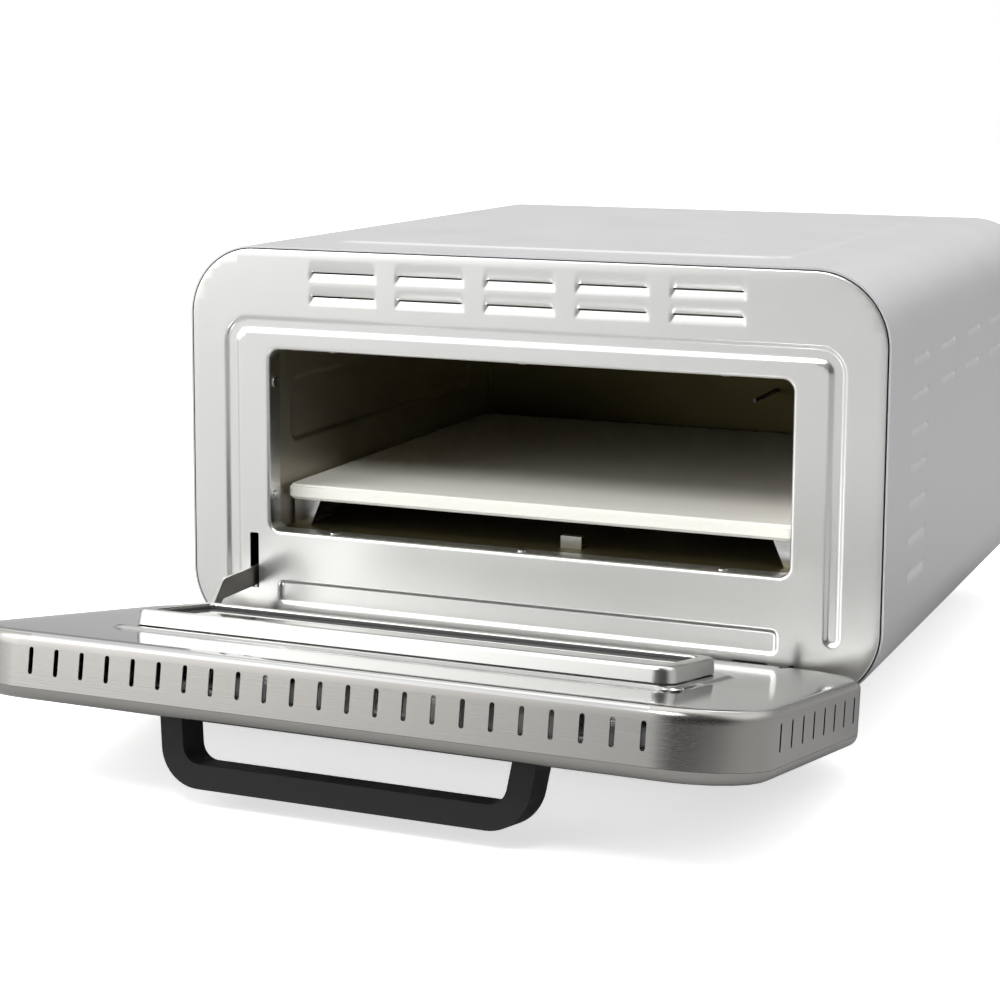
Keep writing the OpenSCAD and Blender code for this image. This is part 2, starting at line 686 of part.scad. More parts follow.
leaf_back = door_y - door_t + door_sheet;
module hinge_leaves() color("darkgray") opened() for (s = [-1, 1]) difference() {
    union() {
        for (k = [-1, 1]) translate([s * ear_x + k * (leaf_gap + leaf_t / 2), 0, 0])
            union() {
                block([-leaf_t / 2, seam_y + skin_lip + seat_gap, door_z + door_sheet + seat_gap],
                    [leaf_t / 2, hinge_y + 6, door_z + leaf_up]);
                block([-leaf_t / 2, leaf_back, door_z + skin_hollow + seat_gap],
                    [leaf_t / 2, seam_y + skin_lip + seat_gap + eps, door_z + leaf_up]);
            }
        block([s * ear_x - leaf_gap - leaf_t, leaf_back, door_z + leaf_up - 14],
            [s * ear_x + leaf_gap + leaf_t, leaf_back + 2, door_z + leaf_up]);
    }
    bar_x(pin_r + run_fit / 2, s * ear_x - 8, s * ear_x + 8, hinge_y, hinge_z);
}

// ---- Door ----

door_mid = door_z + door_h / 2;
window_mid = door_z + window_z + window_h / 2;
glass_w = window_w - 2 * lip_w + 8;
glass_h = window_h - 2 * lip_w + 8;

// Notches in the bottom wall that the hinge ears pass through as the door turns
module ear_notches() for (s = [-1, 1])
    block([s * ear_x - ear_slot / 2, hinge_y - ear_r - 1, door_z - eps],
        [s * ear_x + ear_slot / 2, door_y + 1, door_z + door_sheet + eps]);

module door_vents(y1, y2) {
    for (i = [0:top_slots - 1])
        translate([(i - (top_slots - 1) / 2) * slot_step, 0, door_z + door_h - door_sheet - 1])
            linear_extrude(4) translate([0, (y1 + y2) / 2]) vent_slot();
    for (s = [-1, 1], i = [0:side_slots - 1])
        translate([s * door_w / 2, (y1 + y2) / 2, door_mid + (i - (side_slots - 1) / 2) * side_slot_step])
            rotate([0, 90, 0]) linear_extrude(6, center = true) vent_slot();
}
module vent_slot() {
    square([slot_w, slot_l - slot_w], center = true);
    for (k = [-1, 1]) translate([0, k * (slot_l - slot_w) / 2]) circle(slot_w / 2, $fn = 24);
}

// A slab from y = y1 to y = y2 whose outline is rounded off by e at y2
module soft_slab(w, h, r, y1, y2, e) {
    k = y2 > y1 ? 1 : -1;
    hull() {
        slab(w, h, r, min(y1, y1 + k * eps), max(y1, y1 + k * eps), 0, door_mid, $fn = 48);
        for (a = [30, 60, 90]) {
            y = y2 - k * e * (1 - sin(a));
            in = e * (1 - cos(a));
            slab(w - 2 * in, h - 2 * in, r - in, min(y, y - k * eps), max(y, y - k * eps), 0,
                door_mid, $fn = 48);
        }
    }
}

// Outer skin: the door's face, with a lip that goes into the pan
seam_y = door_y - door_t + skin_edge;
skin_hollow = door_sheet + seat_gap + lip_t;
module door_skin() color("gainsboro") opened() difference() {
    union() {
        soft_slab(door_w, door_h, door_r, seam_y, door_y - door_t, skin_edge);
        slab(door_w - 2 * (door_sheet + seat_gap), door_h - 2 * (door_sheet + seat_gap),
            door_r - door_sheet - seat_gap, seam_y - eps, seam_y + skin_lip, 0, door_mid, $fn = 48);
    }
    slab(door_w - 2 * skin_hollow, door_h - 2 * skin_hollow, door_r - skin_hollow,
        door_y - door_t + door_sheet, seam_y + skin_lip + eps, 0, door_mid, $fn = 48);
    slab(window_w - 2 * lip_w, window_h + 4, 10, door_y - door_t - eps, door_y, 0, window_mid);
    ear_notches();
    for (k = [-1:1])
        bar_y(shaft_r + 1, door_y - door_t - eps, door_y - door_t + 3, k * knob_step, door_z + knob_z);
    for (k = [-1, 1])
        bar_y(lens_r + run_fit, door_y - door_t - eps, door_y - door_t + 3, k * knob_step / 2,
            door_z + knob_z);
    for (k = [-1, 1])
        bar_y(screw_r + seat_gap, door_y - door_t - eps, door_y - door_t + 3, k * handle_post_x,
            door_z + handle_z);
    for (x = door_screw_x)
        bar_z(screw_r, door_z, door_z + skin_hollow + eps, x, seam_y + skin_lip / 2);
}
door_screw_x = [-100, 0, 100];

// How far the pan's rounded edge has drawn in at step k of pan_steps
function pan_in(k) = pan_edge * (1 - sqrt(1 - pow((k - 0.5) / pan_steps, 2)));

// Inner panel: the polished pan that shuts against the oven, with its vented walls and raised step
module door_inner_panel() color("silver") opened() difference() {
    union() {
        difference() {
            union() {
                slab(door_w, door_h, door_r, seam_y, door_y - pan_edge, 0, door_mid);
                for (k = [1:pan_steps]) slab(door_w - 2 * pan_in(k), door_h - 2 * pan_in(k),
                    door_r - pan_in(k), seam_y, door_y - pan_edge * (1 - k / pan_steps), 0, door_mid);
            }
            slab(door_w - 2 * door_sheet, door_h - 2 * door_sheet, door_r - door_sheet,
                seam_y - eps, door_y - pan_edge, 0, door_mid);
            slab(door_w - 2 * pan_edge, door_h - 2 * pan_edge, door_r - pan_edge, seam_y,
                door_y - door_sheet, 0, door_mid);
        }
        slab(window_w + 2 * step_side, window_h + 2 * step_top, 10, door_y - door_sheet,
            door_y + step_out, 0, window_mid);
    }
    slab(window_w - 8, window_h - 8, 6, door_y - door_t, door_y + 3, 0, window_mid);
    door_vents(door_y - slot_n - slot_l, door_y - slot_n);
    ear_notches();
    // Notches for the hinge ears
    for (s = [-1, 1])
        block([s * ear_x - ear_slot / 2, hinge_y, door_z - eps],
            [s * ear_x + ear_slot / 2, door_y + 1, door_z + hinge_up + ear_r + 1.5]);
    // Slot of the stay arm
    block([arm_x - arm_slot_w / 2, door_y - 3, arm_shut[1] - arm_reach],
        [arm_x + arm_slot_w / 2, door_y + 1, arm_shut[1] + arm_reach]);
    for (x = door_screw_x)
        bar_z(screw_r + seat_gap, door_z - eps, door_z + 3, x, seam_y + skin_lip / 2);
}

module door_screws() color("silver") opened() for (x = door_screw_x) {
    bar_z(screw_r - run_fit, door_z, door_z + skin_hollow + 1, x, seam_y + skin_lip / 2);
    bar_z(head_r - 1, door_z - 1.2, door_z, x, seam_y + skin_lip / 2);
}

// Raised box around the window, which stands in the opening when the door is shut
module window_frame() color("gainsboro") opened() difference() {
    union() {
        slab(window_w, window_h, 9, door_y + step_out, door_y + window_out - 2, 0, window_mid);
        slab(window_w - 3, window_h - 3, 7.5, door_y + step_out, door_y + window_out, 0, window_mid);
    }
    slab(window_w - 2.4, window_h - 2.4, 7.5, door_y, door_y + window_out - 2.5, 0, window_mid);
    slab(window_w - 2 * lip_w, window_h - 2 * lip_w, 5, door_y, door_y + window_out + 1, 0, window_mid);
}

glass_top = door_y + window_out - 2.5 - seat_gap;
module inner_glass() color("lightcyan", 0.4) opened()
    slab(glass_w, glass_h, 6, glass_top - pane_t, glass_top, 0, window_mid);

module glass_seal() color("dimgray") opened()
    ring(window_w - 2 * lip_w - 0.4, window_h - 2 * lip_w - 0.4, 4.8, seal_w - 1, glass_top,
        door_y + window_out - 1, 0, window_mid);

outer_pane_y = door_y - door_t + door_sheet + seat_gap;
module outer_glass() color("lightcyan", 0.4) opened()
    slab(window_w - 2 * lip_w + 16, window_h + 20, 6, outer_pane_y, outer_pane_y + pane_t, 0, window_mid);

// Spring clips that press both panes to their frames
module glass_clips() color("silver") opened() for (k = [-1:1], s = [-1, 1]) {
    x = k * window_w / 3;
    z = window_mid + s * (glass_h / 2 - 3);
    translate([x - 8, 0, z]) {
        block([0, glass_top - pane_t - 1.2, -3], [16, glass_top - pane_t, 3]);
        block([0, outer_pane_y + pane_t, -3], [16, outer_pane_y + pane_t + 1.2, 3]);
        block([0, outer_pane_y + pane_t + 1.2, -0.6], [16, glass_top - pane_t - 1.2, 0.6]);
    }
}

// ---- Handle ----

corner_n = handle_out - handle_r;
corner_x = handle_w / 2 - handle_r / cos(handle_lean) - corner_n * tan(handle_lean);
handle_post_x = handle_w / 2 - handle_bar / 2 - 0.5;
handle_steps = 12;

// Points round one corner of the handle, from angle a1 to angle a2, on the side s
function handle_arc(s, r, a1, a2) = [for (i = [0:handle_steps])
    let (a = a1 + (a2 - a1) * i / handle_steps) [s * (corner_x + r * cos(a)), corner_n + r * sin(a)]];
function handle_root(s, r) = [s * (corner_x + r / cos(handle_lean) + corner_n * tan(handle_lean)), 0];

// The handle's outline, with the door's face at y = 0
module handle_outline() {
    inner = handle_r - handle_bar;
    polygon(concat(
        [handle_root(1, handle_r)], handle_arc(1, handle_r, handle_lean, 90),
        handle_arc(-1, handle_r, 90, handle_lean), [handle_root(-1, handle_r)],
        [handle_root(-1, inner)], handle_arc(-1, inner, handle_lean, 90),
        handle_arc(1, inner, 90, handle_lean), [handle_root(1, inner)]));
}

module handle() color("black") opened()
    translate([0, door_y - door_t, door_z + handle_z]) difference() {
        mirror([0, 1, 0]) linear_extrude(handle_deep, center = true) handle_outline();
        for (k = [-1, 1]) bar_y(screw_r, -13, eps, k * handle_post_x, 0);
    }

module handle_screws() color("silver") opened() for (k = [-1, 1]) {
    z = door_z + handle_z;
    bar_y(screw_r - run_fit, door_y - door_t - 12, door_y - door_t + door_sheet, k * handle_post_x, z);
    bar_y(head_r, door_y - door_t + door_sheet, door_y - door_t + door_sheet + head_h,
        k * handle_post_x, z);
}

// ---- Stay arm ----

// Pin of the arm, with the door shut and with the door open
arm_shut = [door_y - arm_in, door_z + arm_up];
arm_turned = turned(arm_shut[0] - hinge_y, arm_shut[1] - hinge_z, open_angle);
arm_open = [hinge_y + arm_turned[0], hinge_z + arm_turned[1]];

// Side view of the arm in its open place: leg, bend, straight and the hook behind the plate
module arm_outline() {
    hook_y = plate_t + seat_gap;
    polygon([
        arm_open + [-2.5, 3],
        [-44, plate_z + arm_high - 1.2],
        [-41, plate_z + arm_high],
        [hook_y + arm_hook_l, plate_z + arm_high],
        [hook_y + arm_hook_l, plate_z + arm_hook_z],
        [hook_y, plate_z + arm_hook_z],
        [hook_y, plate_z + arm_low],
        [-44, plate_z + arm_low],
        arm_open + [3, -2.5]]);
    translate(arm_open) circle(arm_boss_r);
}

module door_arm() color("silver") placed() difference() {
    union() {
        translate([arm_x - arm_t / 2, 0, 0]) rotate([90, 0, 90]) linear_extrude(arm_t) arm_outline();
        bar_x(arm_boss_r, arm_x - arm_boss_l / 2, arm_x + arm_boss_l / 2, arm_open[0], arm_open[1]);
    }
    bar_x(arm_pin_r + run_fit, arm_x - 10, arm_x + 10, arm_open[0], arm_open[1]);
}

module arm_pin() color("silver") opened() {
    half = arm_boss_l / 2 + seat_gap + cheek_t + 1;
    bar_x(arm_pin_r, arm_x - half, arm_x + half, arm_shut[0], arm_shut[1]);
}

// Two cheeks under the inner panel, joined by a web
module arm_bracket() color("darkgray") opened() {
    cheek = arm_boss_l / 2 + seat_gap;
    web_y = arm_shut[0] - 8;
    difference() {
        union() {
            for (k = [-1, 1]) translate([arm_x + k * (cheek + cheek_t / 2), 0, 0])
                block([-cheek_t / 2, web_y, arm_shut[1] - arm_reach - 3],
                    [cheek_t / 2, door_y - door_sheet, arm_shut[1] + arm_reach + 3]);
            block([arm_x - cheek - cheek_t, web_y - cheek_t, arm_shut[1] - arm_reach - 3],
                [arm_x + cheek + cheek_t, web_y, arm_shut[1] + arm_reach + 3]);
        }
        bar_x(arm_pin_r + run_fit / 2, arm_x - 10, arm_x + 10, arm_shut[0], arm_shut[1]);
    }
}

// ---- Controls ----

skin_in = door_y - door_t + door_sheet;
skin_out = door_y - door_t;

module control_body(x) difference() {
    union() {
        bar_y(control_r, skin_in + 1, skin_in + control_l, x, door_z + knob_z);
        bar_y(5, skin_in, skin_in + 1, x, door_z + knob_z);
    }
    bar_y(shaft_r + run_fit, skin_in - 1, skin_in + control_l - 3, x, door_z + knob_z);
}
module heat_controls() color("dimgray") opened() for (k = [-1, 0]) control_body(k * knob_step);
module timer_control() color("dimgray") opened() control_body(knob_step);

module shaft(x) color("silver") opened()
    bar_y(shaft_r, skin_out - knob_gap - knob_h + knob_cap, skin_in + control_l - 3 - run_fit, x,
        door_z + knob_z);
module upper_heat_shaft() shaft(-knob_step);
module lower_heat_shaft() shaft(0);
module timer_shaft() shaft(knob_step);

module knob(x) color("black") opened() difference() {
    union() {
        bar_y(knob_r, skin_out - knob_gap - 4, skin_out - knob_gap, x, door_z + knob_z);
        bar_y(knob_r - 2, skin_out - knob_gap - knob_h, skin_out - knob_gap - 4, x, door_z + knob_z);
    }
    bar_y(shaft_r + run_fit / 2, skin_out - knob_gap - knob_h + knob_cap - run_fit, skin_out + 1, x,
        door_z + knob_z);
    // Pointer groove
    block([x - 1, skin_out - knob_gap - knob_h - eps, door_z + knob_z + knob_r / 3],
        [x + 1, skin_out - knob_gap - knob_h + 1, door_z + knob_z + knob_r]);
}
module upper_heat_knob() knob(-knob_step);
module lower_heat_knob() knob(0);
module timer_knob() knob(knob_step);

module indicator_lenses() color("orangered") opened() for (k = [-1, 1]) {
    bar_y(lens_r, skin_out - 1, skin_in + 2, k * knob_step / 2, door_z + knob_z);
    bar_y(lens_r + 1.5, skin_in, skin_in + 2, k * knob_step / 2, door_z + knob_z);
}

board_y = skin_in + control_l + seat_gap;
board_w = 2 * knob_step + 2 * control_r + 12;
module control_board() color("darkgreen") opened() {
    block([-board_w / 2, board_y, door_z + knob_z - 19], [board_w / 2, board_y + 1.6, door_z + knob_z + 19]);
    for (x = [-58, -20, 26, 60])
        block([x - 6, board_y + 1.6, door_z + knob_z - 8], [x + 6, board_y + 7, door_z + knob_z + 6]);
}

// Open tray over the board, with legs that stand on the door's skin
module board_cover() color("whitesmoke") opened() difference() {
    w = board_w + 5;
    block([-w / 2, skin_in, door_z + knob_z - 21.5], [w / 2, board_y + 11, door_z + knob_z + 21.5]);
    block([-w / 2 + 1.5, skin_in - 1, door_z + knob_z - 20], [w / 2 - 1.5, board_y + 9.5, door_z + knob_z + 20]);
}

outer_wrap();
front_plate();
back_panel();
base_plate();
feet();
foot_screws();
back_screws();
base_screws();
liner_sides();
liner_top();
liner_floor();
liner_back();
liner_rivets();
insulation();
stone_supports();
pizza_stone();
upper_element();
lower_element();
element_bushes();
element_clips();
floor_clip();
temperature_probes();
thermal_cutout();
terminal_block();
wiring_loom();
cable_gland();
hinge_ears();
ear_studs();
door_skin();
door_inner_panel();
door_screws();
window_frame();
inner_glass();
glass_seal();
outer_glass();
glass_clips();
handle();
handle_screws();
hinge_leaves();
hinge_pins();
arm_bracket();
arm_pin();
door_arm();
heat_controls();
timer_control();
control_board();
board_cover();
indicator_lenses();
upper_heat_knob();
lower_heat_knob();
timer_knob();
upper_heat_shaft();
lower_heat_shaft();
timer_shaft();
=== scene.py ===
# %% [markdown]
# # A countertop pizza oven with its door down
# The oven is a sheet steel casing with a pressed front plate, a drop-down door with a window, a bar
# handle, and a stone that sits over a heater tube. Its solids are already packed as a fixed frame.
# This lesson puts the real surfaces on that frame: pressed sheets with soft bends, screws, knobs and
# the finishes of satin, brushed, polished and galvanised steel.

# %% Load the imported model
import json
import math
import bmesh
import bpy
import numpy as np
from mathutils import Matrix, Vector

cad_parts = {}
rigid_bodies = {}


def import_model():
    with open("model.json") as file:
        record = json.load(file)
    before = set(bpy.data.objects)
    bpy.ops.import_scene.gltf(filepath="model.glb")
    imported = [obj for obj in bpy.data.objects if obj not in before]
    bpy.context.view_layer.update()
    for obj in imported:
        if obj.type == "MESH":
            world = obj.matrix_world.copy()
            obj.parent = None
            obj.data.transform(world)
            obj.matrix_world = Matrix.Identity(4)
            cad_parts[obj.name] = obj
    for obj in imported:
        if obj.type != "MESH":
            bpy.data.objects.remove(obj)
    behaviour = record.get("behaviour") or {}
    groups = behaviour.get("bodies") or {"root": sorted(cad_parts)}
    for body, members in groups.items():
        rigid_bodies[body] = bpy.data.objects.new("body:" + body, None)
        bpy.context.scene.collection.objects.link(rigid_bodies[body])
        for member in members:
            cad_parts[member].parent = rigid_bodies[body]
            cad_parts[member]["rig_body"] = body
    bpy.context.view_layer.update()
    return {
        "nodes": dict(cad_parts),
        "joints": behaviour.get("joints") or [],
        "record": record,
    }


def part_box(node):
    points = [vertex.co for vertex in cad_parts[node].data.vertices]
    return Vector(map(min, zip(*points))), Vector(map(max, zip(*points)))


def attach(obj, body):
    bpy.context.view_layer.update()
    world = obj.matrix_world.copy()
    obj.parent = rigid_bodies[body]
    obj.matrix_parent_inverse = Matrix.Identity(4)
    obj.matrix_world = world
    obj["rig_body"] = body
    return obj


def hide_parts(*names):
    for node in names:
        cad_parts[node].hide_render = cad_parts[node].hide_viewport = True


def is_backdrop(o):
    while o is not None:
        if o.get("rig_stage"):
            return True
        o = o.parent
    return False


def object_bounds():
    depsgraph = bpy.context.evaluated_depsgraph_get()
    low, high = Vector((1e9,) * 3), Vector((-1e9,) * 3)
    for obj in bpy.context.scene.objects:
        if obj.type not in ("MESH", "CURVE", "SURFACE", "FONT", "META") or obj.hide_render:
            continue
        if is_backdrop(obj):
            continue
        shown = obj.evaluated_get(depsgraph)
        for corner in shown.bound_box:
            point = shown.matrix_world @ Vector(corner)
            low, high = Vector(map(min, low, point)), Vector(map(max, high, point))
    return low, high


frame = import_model()
nodes = frame["nodes"]
body_of = {n: o["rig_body"] for n, o in nodes.items()}

# %% [markdown]
# The camera comes first, because everything else is judged through it. It stands to the right of the
# oven and a little above it, with a long lens. Its place was solved from edges of the photograph. The
# small shift moves the picture on the sensor without turning the camera, which keeps upright edges upright.

# %% The camera
MM = 0.001
YAW, PITCH, ROLL = 0.40898, 0.14689, -0.00272
LENS, SHIFT = 84.33, (0.0419, -0.1)
PLATE_Y = Vector(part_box("front_plate")[0]).y
PLATE_Z = Vector(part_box("front_plate")[0]).z
camera_place = Vector((0.53163, -1.31945 + PLATE_Y, 0.37848 + PLATE_Z))



def placed(name, data):
    """A new object with this data, linked to the scene."""
    made = bpy.data.objects.new(name, data)
    bpy.context.scene.collection.objects.link(made)
    return made


camera_data = bpy.data.cameras.new("studio_camera")
camera = placed("studio_camera", camera_data)
ahead = Vector((-math.sin(YAW) * math.cos(PITCH), math.cos(YAW) * math.cos(PITCH), -math.sin(PITCH)))
level = Vector((math.cos(YAW), math.sin(YAW), 0))
below = ahead.cross(level)
right = math.cos(ROLL) * level + math.sin(ROLL) * below
down = -math.sin(ROLL) * level + math.cos(ROLL) * below
turn = Matrix((right, -down, -ahead)).transposed()
camera.matrix_world = Matrix.Translation(camera_place) @ turn.to_4x4()
camera_data.sensor_width = 36
camera_data.lens = LENS
camera_data.shift_x, camera_data.shift_y = SHIFT
camera_data.clip_start, camera_data.clip_end = 0.05, 60
bpy.context.scene.camera = camera
print("camera", [round(v, 3) for v in camera.location], "lens", camera_data.lens)

# %% [markdown]
# Every piece is drawn in flat millimetres on its own sheet: the front plate in x and height, the door in
# x and height from its lower edge, with a depth under its inner face. A place function then carries those
# numbers to the frame. The door's function turns them about the hinge, so a piece drawn for the shut door
# lands on the open one.

# %% Where the plate, the casing and the door are
hinge = next(j for j in frame["joints"] if j["name"] == "door_hinge")
OPEN = math.radians(hinge["range_deg"][1])
HINGE_Y, HINGE_Z = hinge["pos_m"][1], hinge["pos_m"][2]
HINGE_IN, HINGE_UP = 19.0, 8.0


def on_plate(x, z, inwards):
    return np.stack([x * MM, inwards * MM + PLATE_Y, z * MM + PLATE_Z], axis=-1)


def on_door(x, up, deep):
    y, z = HINGE_IN - deep, up - HINGE_UP
    turned_y = y * math.cos(OPEN) - z * math.sin(OPEN)
    turned_z = y * math.sin(OPEN) + z * math.cos(OPEN)
    return np.stack([x * MM, HINGE_Y + turned_y * MM, HINGE_Z + turned_z * MM], axis=-1)


def door_way(up, deep):
    """The direction in the frame of a step on the door."""
    way = on_door(*np.array([[0.0], [up], [deep]]))[0] - on_door(*np.zeros((3, 1)))[0]
    return way / np.linalg.norm(way)


BODY_W, BODY_H, BODY_R, BODY_D, FOOT_H = 460.0, 258.0, 46.0, 465.0, 26.0
BODY_FOOT = FOOT_H - PLATE_Z / MM
flat_w, flat_h = BODY_W - 2 * BODY_R, BODY_H - 2 * BODY_R
quarter = math.pi * BODY_R / 2
girth = 2 * flat_w + 2 * flat_h + 4 * quarter
stops = np.cumsum([0, flat_w / 2, quarter, flat_h, quarter, flat_w, quarter, flat_h, quarter, flat_w / 2])


def around_casing(s, y, inwards):
    """s runs from the middle of the underside, up the right side and over the top."""
    x, z, nx, nz = (np.zeros_like(s) for _ in range(4))
    w, h = flat_w / 2, flat_h / 2
    corners = [(w, -h), (w, h), (-w, h), (-w, -h)]
    starts = [(0, -BODY_H / 2), (BODY_W / 2, -h), (w, BODY_H / 2), (-BODY_W / 2, h), (-w, -BODY_H / 2)]
    steps = [(1, 0), (0, 1), (-1, 0), (0, -1), (1, 0)]
    for k in range(5):
        on = (s >= stops[2 * k]) & (s <= stops[2 * k + 1])
        t = s[on] - stops[2 * k]
        x[on], z[on] = starts[k][0] + steps[k][0] * t, starts[k][1] + steps[k][1] * t
        nx[on], nz[on] = steps[k][1], -steps[k][0]
        if k < 4:
            on = (s > stops[2 * k + 1]) & (s < stops[2 * k + 2])
            a = (s[on] - stops[2 * k + 1]) / BODY_R + math.pi / 2 * (k - 1)
            x[on], z[on] = corners[k][0] + BODY_R * np.cos(a), corners[k][1] + BODY_R * np.sin(a)
            nx[on], nz[on] = np.cos(a), np.sin(a)
    mid = BODY_FOOT + BODY_H / 2
    return on_plate(x - nx * inwards, z - nz * inwards + mid, y)


print("door opens", round(math.degrees(OPEN), 1), "girth of the casing", round(girth, 1))

# %% [markdown]
# Pressed sheet metal has soft steps and rolled edges, which catch long thin highlights. A boolean gives
# only sharp steps, and sculpting isn't exact. Here a sheet is a grid whose points know their flat place:
# a rounded rectangle's signed distance says where a hole or a pressing begins, points next to a hole's
# edge move onto it, and an edge can be rolled over a radius and run on as a flange.

# %% The sheet metal bench


def rounded(u, v, cu, cv, w, h, r):
    """Distance to a rounded rectangle's outline, below 0 inside it."""
    qu, qv = np.abs(u - cu) - (w / 2 - r), np.abs(v - cv) - (h / 2 - r)
    return np.hypot(np.maximum(qu, 0), np.maximum(qv, 0)) + np.minimum(np.maximum(qu, qv), 0) - r


def soft(distance, width):
    """0 at an outline, 1 further inside than width, with a smooth S between."""
    t = np.clip(-distance / width, 0, 1)
    return t * t * (3 - 2 * t)


def lines(low, high, coarse, *fine):
    """Grid lines from low to high, coarse apart, with closer ones in each (from, to, apart)."""
    marks = list(np.linspace(low, high, max(2, int(math.ceil((high - low) / coarse)) + 1)))
    for a, b, apart in fine:
        a, b = max(a, low), min(b, high)
        marks = [m for m in marks if not a - apart * 0.6 < m < b + apart * 0.6 or m in (low, high)]
        marks += list(np.linspace(a, b, max(2, int(round((b - a) / apart)) + 1)))
    marks = sorted(marks)
    kept = [marks[0]]
    for m in marks[1:]:
        if m - kept[-1] > 0.05:
            kept.append(m)
    kept[-1] = high
    return np.array(kept)


class Sheet:
    """A sheet as a grid: each point is (u, v, depth) in millimetres."""

    def __init__(self, us, vs):
        u, v = np.meshgrid(us, vs, indexing="ij")
        self.p = np.stack([u.ravel(), v.ravel(), np.zeros(u.size)], axis=1)
        i = np.arange(u.size).reshape(u.shape)
        self.q = np.stack([i[:-1, :-1], i[1:, :-1], i[1:, 1:], i[:-1, 1:]], axis=-1).reshape(-1, 4)

    def at(self, f, p=None):
        p = self.p if p is None else p
        return f(p[:, 0], p[:, 1], p[:, 2])

    def slope(self, f, p):
        h = 1e-3
        g = np.stack([(self.at(f, p + h * e) - self.at(f, p - h * e)) / (2 * h) for e in np.eye(3)], axis=1)
        return g / np.maximum(np.linalg.norm(g, axis=1, keepdims=True), 1e-9)

    def cut(self, f):
        """Removes the sheet where f is below 0 and brings its edge onto the outline."""
        edges = np.concatenate([self.q[:, [k, (k + 1) % 4]] for k in range(4)])
        for _ in range(2):
            d = self.at(f)
            a, b = d[edges[:, 0]], d[edges[:, 1]]
            over = (a * b < 0) & (np.minimum(abs(a), abs(b)) > 1e-4)
            pick = np.unique(np.where(abs(a) < abs(b), edges[:, 0], edges[:, 1])[over])
            for _ in range(3):
                self.p[pick] -= self.at(f, self.p[pick])[:, None] * self.slope(f, self.p[pick])
        out = self.at(f)[self.q] < -2e-3
        lone = np.nonzero(out.sum(axis=1) == 1)[0]
        corner = out[lone].argmax(axis=1)
        self.q[lone, corner] = self.q[lone, (corner + 1) % 4]
        d = self.at(f)
        middle = self.at(f, self.p[self.q].mean(axis=1))
        gone = (d[self.q].min(axis=1) < -2e-3) | ((middle < -0.01) & (d[self.q].max(axis=1) < 2e-3))
        self.q = self.q[~gone]

    def press(self, f):
        self.p[:, 2] += f(self.p[:, 0], self.p[:, 1])

    def rim(self, f):
        """Free edges of the sheet that lie on the outline f, in the order of their faces."""
        edges = np.concatenate([self.q[:, [k, (k + 1) % 4]] for k in range(4)])
        edges = edges[edges[:, 0] != edges[:, 1]]
        key = np.sort(edges, axis=1)
        _, first, count = np.unique(key, axis=0, return_index=True, return_counts=True)
        free = edges[first[count == 1]]
        near = abs(self.at(f)) < 5e-3
        return free[near[free[:, 0]] & near[free[:, 1]]]

    def roll(self, f, radius, reach, flare=0.0, marks=(), steps=5):
        """Rolls the edge on f over a radius, away from the sheet's face, then on to the depth reach."""
        rim = self.rim(f)
        ring = np.unique(rim)
        where = {v: k for k, v in enumerate(ring)}
        base, out = self.p[ring], -self.slope(f, self.p[ring])
        out[:, 2] = 0
        before = ring
        angles = np.linspace(0, math.pi / 2, steps + 1)[1:]
        bend = [(radius * math.sin(a), radius * (1 - math.cos(a))) for a in angles]
        wall = [m for m in marks if radius + 0.1 < m < reach - 0.1]
        wall += [reach] if reach > radius + 0.1 else []
        for side, depth in bend + [(radius + flare * (w - radius) / (reach - radius), w) for w in wall]:
            new = base + out * side
            new[:, 2] = base[:, 2] + depth
            ids = len(self.p) + np.arange(len(ring))
            self.p = np.concatenate([self.p, new])
            a = np.array([where[v] for v in rim[:, 0]])
            b = np.array([where[v] for v in rim[:, 1]])
            self.q = np.concatenate([self.q, np.stack([before[b], before[a], ids[a], ids[b]], axis=1)])
            before = ids

    def add(self, other):
        self.q = np.concatenate([self.q, other.q + len(self.p)])
        self.p = np.concatenate([self.p, other.p])

    def make(self, name, place, outwards, thick):
        """The mesh, with its faces turned to the side outwards(face middle) points to."""
        used, faces = np.unique(self.q, return_inverse=True)
        points = place(*self.p[used].T)
        mesh = bpy.data.meshes.new(name)
        mesh.from_pydata(points.tolist(), [], [list(dict.fromkeys(f)) for f in faces.reshape(-1, 4).tolist()])
        mesh.update()
        piece = placed(name, mesh)
        normals, middles, areas = face_facts(mesh)
        if (np.einsum("ij,ij->i", normals, outwards(middles)) * areas).sum() < 0:
            mesh.flip_normals()
        mesh.shade_smooth()
        solid = piece.modifiers.new("thickness", "SOLIDIFY")
        solid.thickness, solid.offset = thick * MM, -1
        solid.use_even_offset = True
        # The inner shell takes the third slot, which holds the near-black finish that paints the shade behind
        # the sheet.
        solid.material_offset = 2
        return piece


def towards(*way):
    """For Sheet.make: the same outward direction at every face."""
    return lambda middles: np.tile(way, (len(middles), 1))


def joined(name, parts, *slots):
    """One plain mesh from thick sheets: cut edges sharp, the inner side in the last slot, which holds the
    finish that paints its shade.
    """
    layers = [finish[slots[k]] for k in (0, -2, -1)]
    for part in parts:
        for layer in layers:
            part.data.materials.append(layer)
    bpy.context.view_layer.update()
    graph = bpy.context.evaluated_depsgraph_get()
    work = bmesh.new()
    for part in parts:
        made = bpy.data.meshes.new_from_object(part.evaluated_get(graph))
        work.from_mesh(made)
        bpy.data.meshes.remove(made)
    mesh = bpy.data.meshes.new(name)
    work.to_mesh(mesh)
    work.free()
    for layer in layers:
        mesh.materials.append(layer)
    mesh.set_sharp_from_angle(angle=math.radians(48))
    for part in parts:
        bpy.data.objects.remove(part)
    return placed(name, mesh)


def face_facts(mesh):
    n = len(mesh.polygons)
    normals, middles, areas = np.zeros(3 * n), np.zeros(3 * n), np.zeros(n)
    mesh.polygons.foreach_get("normal", normals)
    mesh.polygons.foreach_get("center", middles)
    mesh.polygons.foreach_get("area", areas)
    return normals.reshape(-1, 3), middles.reshape(-1, 3), areas


